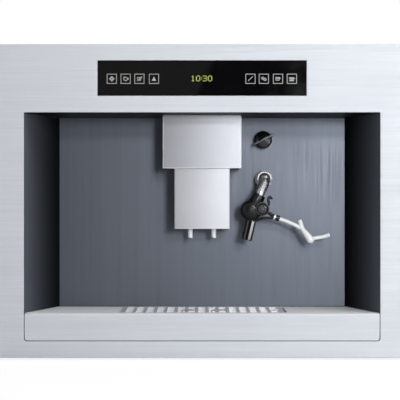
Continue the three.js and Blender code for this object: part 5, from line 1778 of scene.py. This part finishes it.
@dataclass
class Studio:
    """A pale floor, soft lamps, a white background and the camera, in metres."""

    camera_place: Point = (0.0, -1.87, 0.2305)
    lens: float = 103.7
    sensor: float = 36.0
    shift: Pair = (-0.00525, 0.0024)
    surround: float = 0.22
    floor_size: float = 6.0
    floor_height: float = -0.0006
    floor_white: float = 0.72
    floor_glow: float = 1.18
    glass_face: float = -0.2
    glass_distance: float = 1.67
    glass_half: float = 0.16
    glass_heights: Pair = (0.381, 0.436)
    glass_split: Pair = (-0.009, 0.0165)
    mirrored_depth: float = 1.4
    mirrored_dark: float = 0.003
    mirrored_glow: float = 0.13

    def build(self) -> None:
        """Sets up the whole stage."""
        self.add_floor()
        self.add_world()
        for lamp in LAMPS:
            self.add_lamp(lamp)
        self.add_mirrored_cards()
        for card in CARDS:
            low, high = card.heights
            corners = [(*card.start, low), (*card.end, low), (*card.end, high), (*card.start, high)]
            self.add_card(card.name, corners, card.level)
        self.add_camera()
        bpy.context.scene.view_settings.view_transform = "Standard"

    def add_floor(self) -> None:
        """Adds the pale floor, which keeps the machine's shadow."""
        mesh = bmesh.new()
        bmesh.ops.create_grid(mesh, x_segments=1, y_segments=1, size=self.floor_size)
        floor = meshed("floor", mesh)
        floor.location.z = self.floor_height
        sheet = NodeSheet("pale_floor")
        sheet.colour(sheet.ramp(sheet.noise(3.0), (0.3, (0.8,) * 3), (0.7, (0.82,) * 3)))
        sheet.constant(Roughness=0.9)
        white = sheet.add("ShaderNodeEmission")
        white.inputs["Color"].default_value = (*WHITE, 1.0)
        white.inputs["Strength"].default_value = self.floor_glow
        share = sheet.add("ShaderNodeMath", operation="MULTIPLY")
        sheet.feed(share.inputs[0], sheet.add("ShaderNodeLightPath").outputs["Is Camera Ray"])
        share.inputs[1].default_value = self.floor_white
        mix = sheet.add("ShaderNodeMixShader")
        for socket, source in zip(mix.inputs, (share, sheet.shader, white)):
            sheet.feed(socket, source.outputs[0])
        sheet.feed(sheet.tree.nodes["Material Output"].inputs["Surface"], mix.outputs[0])
        floor.data.materials.append(sheet.material)

    def add_world(self) -> None:
        """Makes the surroundings white to the eye and in reflections, and plain as a light."""
        world = bpy.data.worlds.new("surroundings")
        world.use_nodes = True
        bpy.context.scene.world = world
        nodes, links = world.node_tree.nodes, world.node_tree.links
        path = nodes.new("ShaderNodeLightPath")
        seen = path.outputs["Is Camera Ray"]
        for ray in ("Is Glossy Ray", "Is Transmission Ray"):
            either = nodes.new("ShaderNodeMath")
            either.operation = "MAXIMUM"
            links.new(seen, either.inputs[0])
            links.new(path.outputs[ray], either.inputs[1])
            seen = either.outputs[0]
        level = nodes.new("ShaderNodeMapRange")
        level.inputs["To Min"].default_value = self.surround
        level.inputs["To Max"].default_value = 1.0
        links.new(seen, level.inputs["Value"])
        background = nodes["Background"]
        background.inputs["Color"].default_value = (*WHITE, 1.0)
        links.new(level.outputs["Result"], background.inputs["Strength"])

    def add_lamp(self, lamp: Lamp) -> None:
        """Adds a soft area lamp.

        Args:
            lamp: Its measures.
        """
        data = bpy.data.lights.new(lamp.name, "AREA")
        data.shape = "RECTANGLE"
        data.size, data.size_y = lamp.size
        data.energy = lamp.watts
        light = placed(lamp.name, data)
        light.location = lamp.place
        light.rotation_euler = (Vector(lamp.aim) - Vector(lamp.place)).to_track_quat("-Z", "Y").to_euler()

    def add_mirrored_cards(self) -> None:
        """Adds the two cards behind the camera that the glass mirrors, the dark one to the right."""
        spread = 1 + self.mirrored_depth / self.glass_distance
        y = self.glass_face - self.mirrored_depth

        def seen(x: float, z: float) -> Point:
            """Where a place on the glass looks to, on the cards' plane."""
            return (x * spread, y, z + (z - self.camera_place[2]) * (spread - 1))

        foot, top = self.glass_heights
        foot_split, top_split = self.glass_split
        half = self.glass_half
        dark = [seen(top_split, top), seen(half, top), seen(half, foot), seen(foot_split, foot)]
        self.add_card("glass_card", dark, self.mirrored_dark)
        glow = [seen(-half, top), seen(top_split, top), seen(foot_split, foot), seen(-half, foot)]
        self.add_card("glow_card", glow, self.mirrored_glow)

    def add_card(self, name: str, corners: Sequence[Point], level: float) -> None:
        """Adds a card that shows only in reflections.

        Args:
            name: Its name.
            corners: Its four corners, in metres.
            level: How bright it looks; 1 is white.
        """
        data = bpy.data.meshes.new(name)
        data.from_pydata(corners, [], [(0, 1, 2, 3)])
        card = placed(name, data)
        sheet = NodeSheet(f"{name}_cloth")
        weave = sheet.ramp(sheet.noise(40.0), (0.3, (0.9,) * 3), (0.7, WHITE))
        sheet.feed(sheet.shader.inputs["Emission Color"], weave)
        sheet.constant(Base_Color=(0.0, 0.0, 0.0, 1.0), Roughness=1.0, Specular_IOR_Level=0.0,
                       Emission_Strength=level)
        data.materials.append(sheet.material)
        card.visible_camera = False
        card.visible_diffuse = False
        card.visible_shadow = False

    def add_camera(self) -> None:
        """Adds the camera that looks straight at the front."""
        data = bpy.data.cameras.new("front_camera")
        data.lens = self.lens
        data.sensor_width = self.sensor
        data.shift_x, data.shift_y = self.shift
        camera = placed("front_camera", data)
        camera.location = self.camera_place
        camera.rotation_euler = (math.radians(90), 0, 0)
        bpy.context.scene.camera = camera


def main() -> None:
    """Builds the stage, then the machine's pieces in order."""
    logging.basicConfig(level=logging.INFO, format="%(name)s: %(message)s")
    assemblies = (
        Studio(), Rails(), Casing(), FrontPanel(), ControlGlass(), CupCavity(), CoffeeOutlet(), SteamKnob(),
        SteamWand(), DripDrawer(), BrewUnit(), Grinder(), WaterSide(), Electrics(),
    )
    for assembly in assemblies:
        log.info("building %s", type(assembly).__name__)
        assembly.build()


if __name__ == "__main__":
    main()
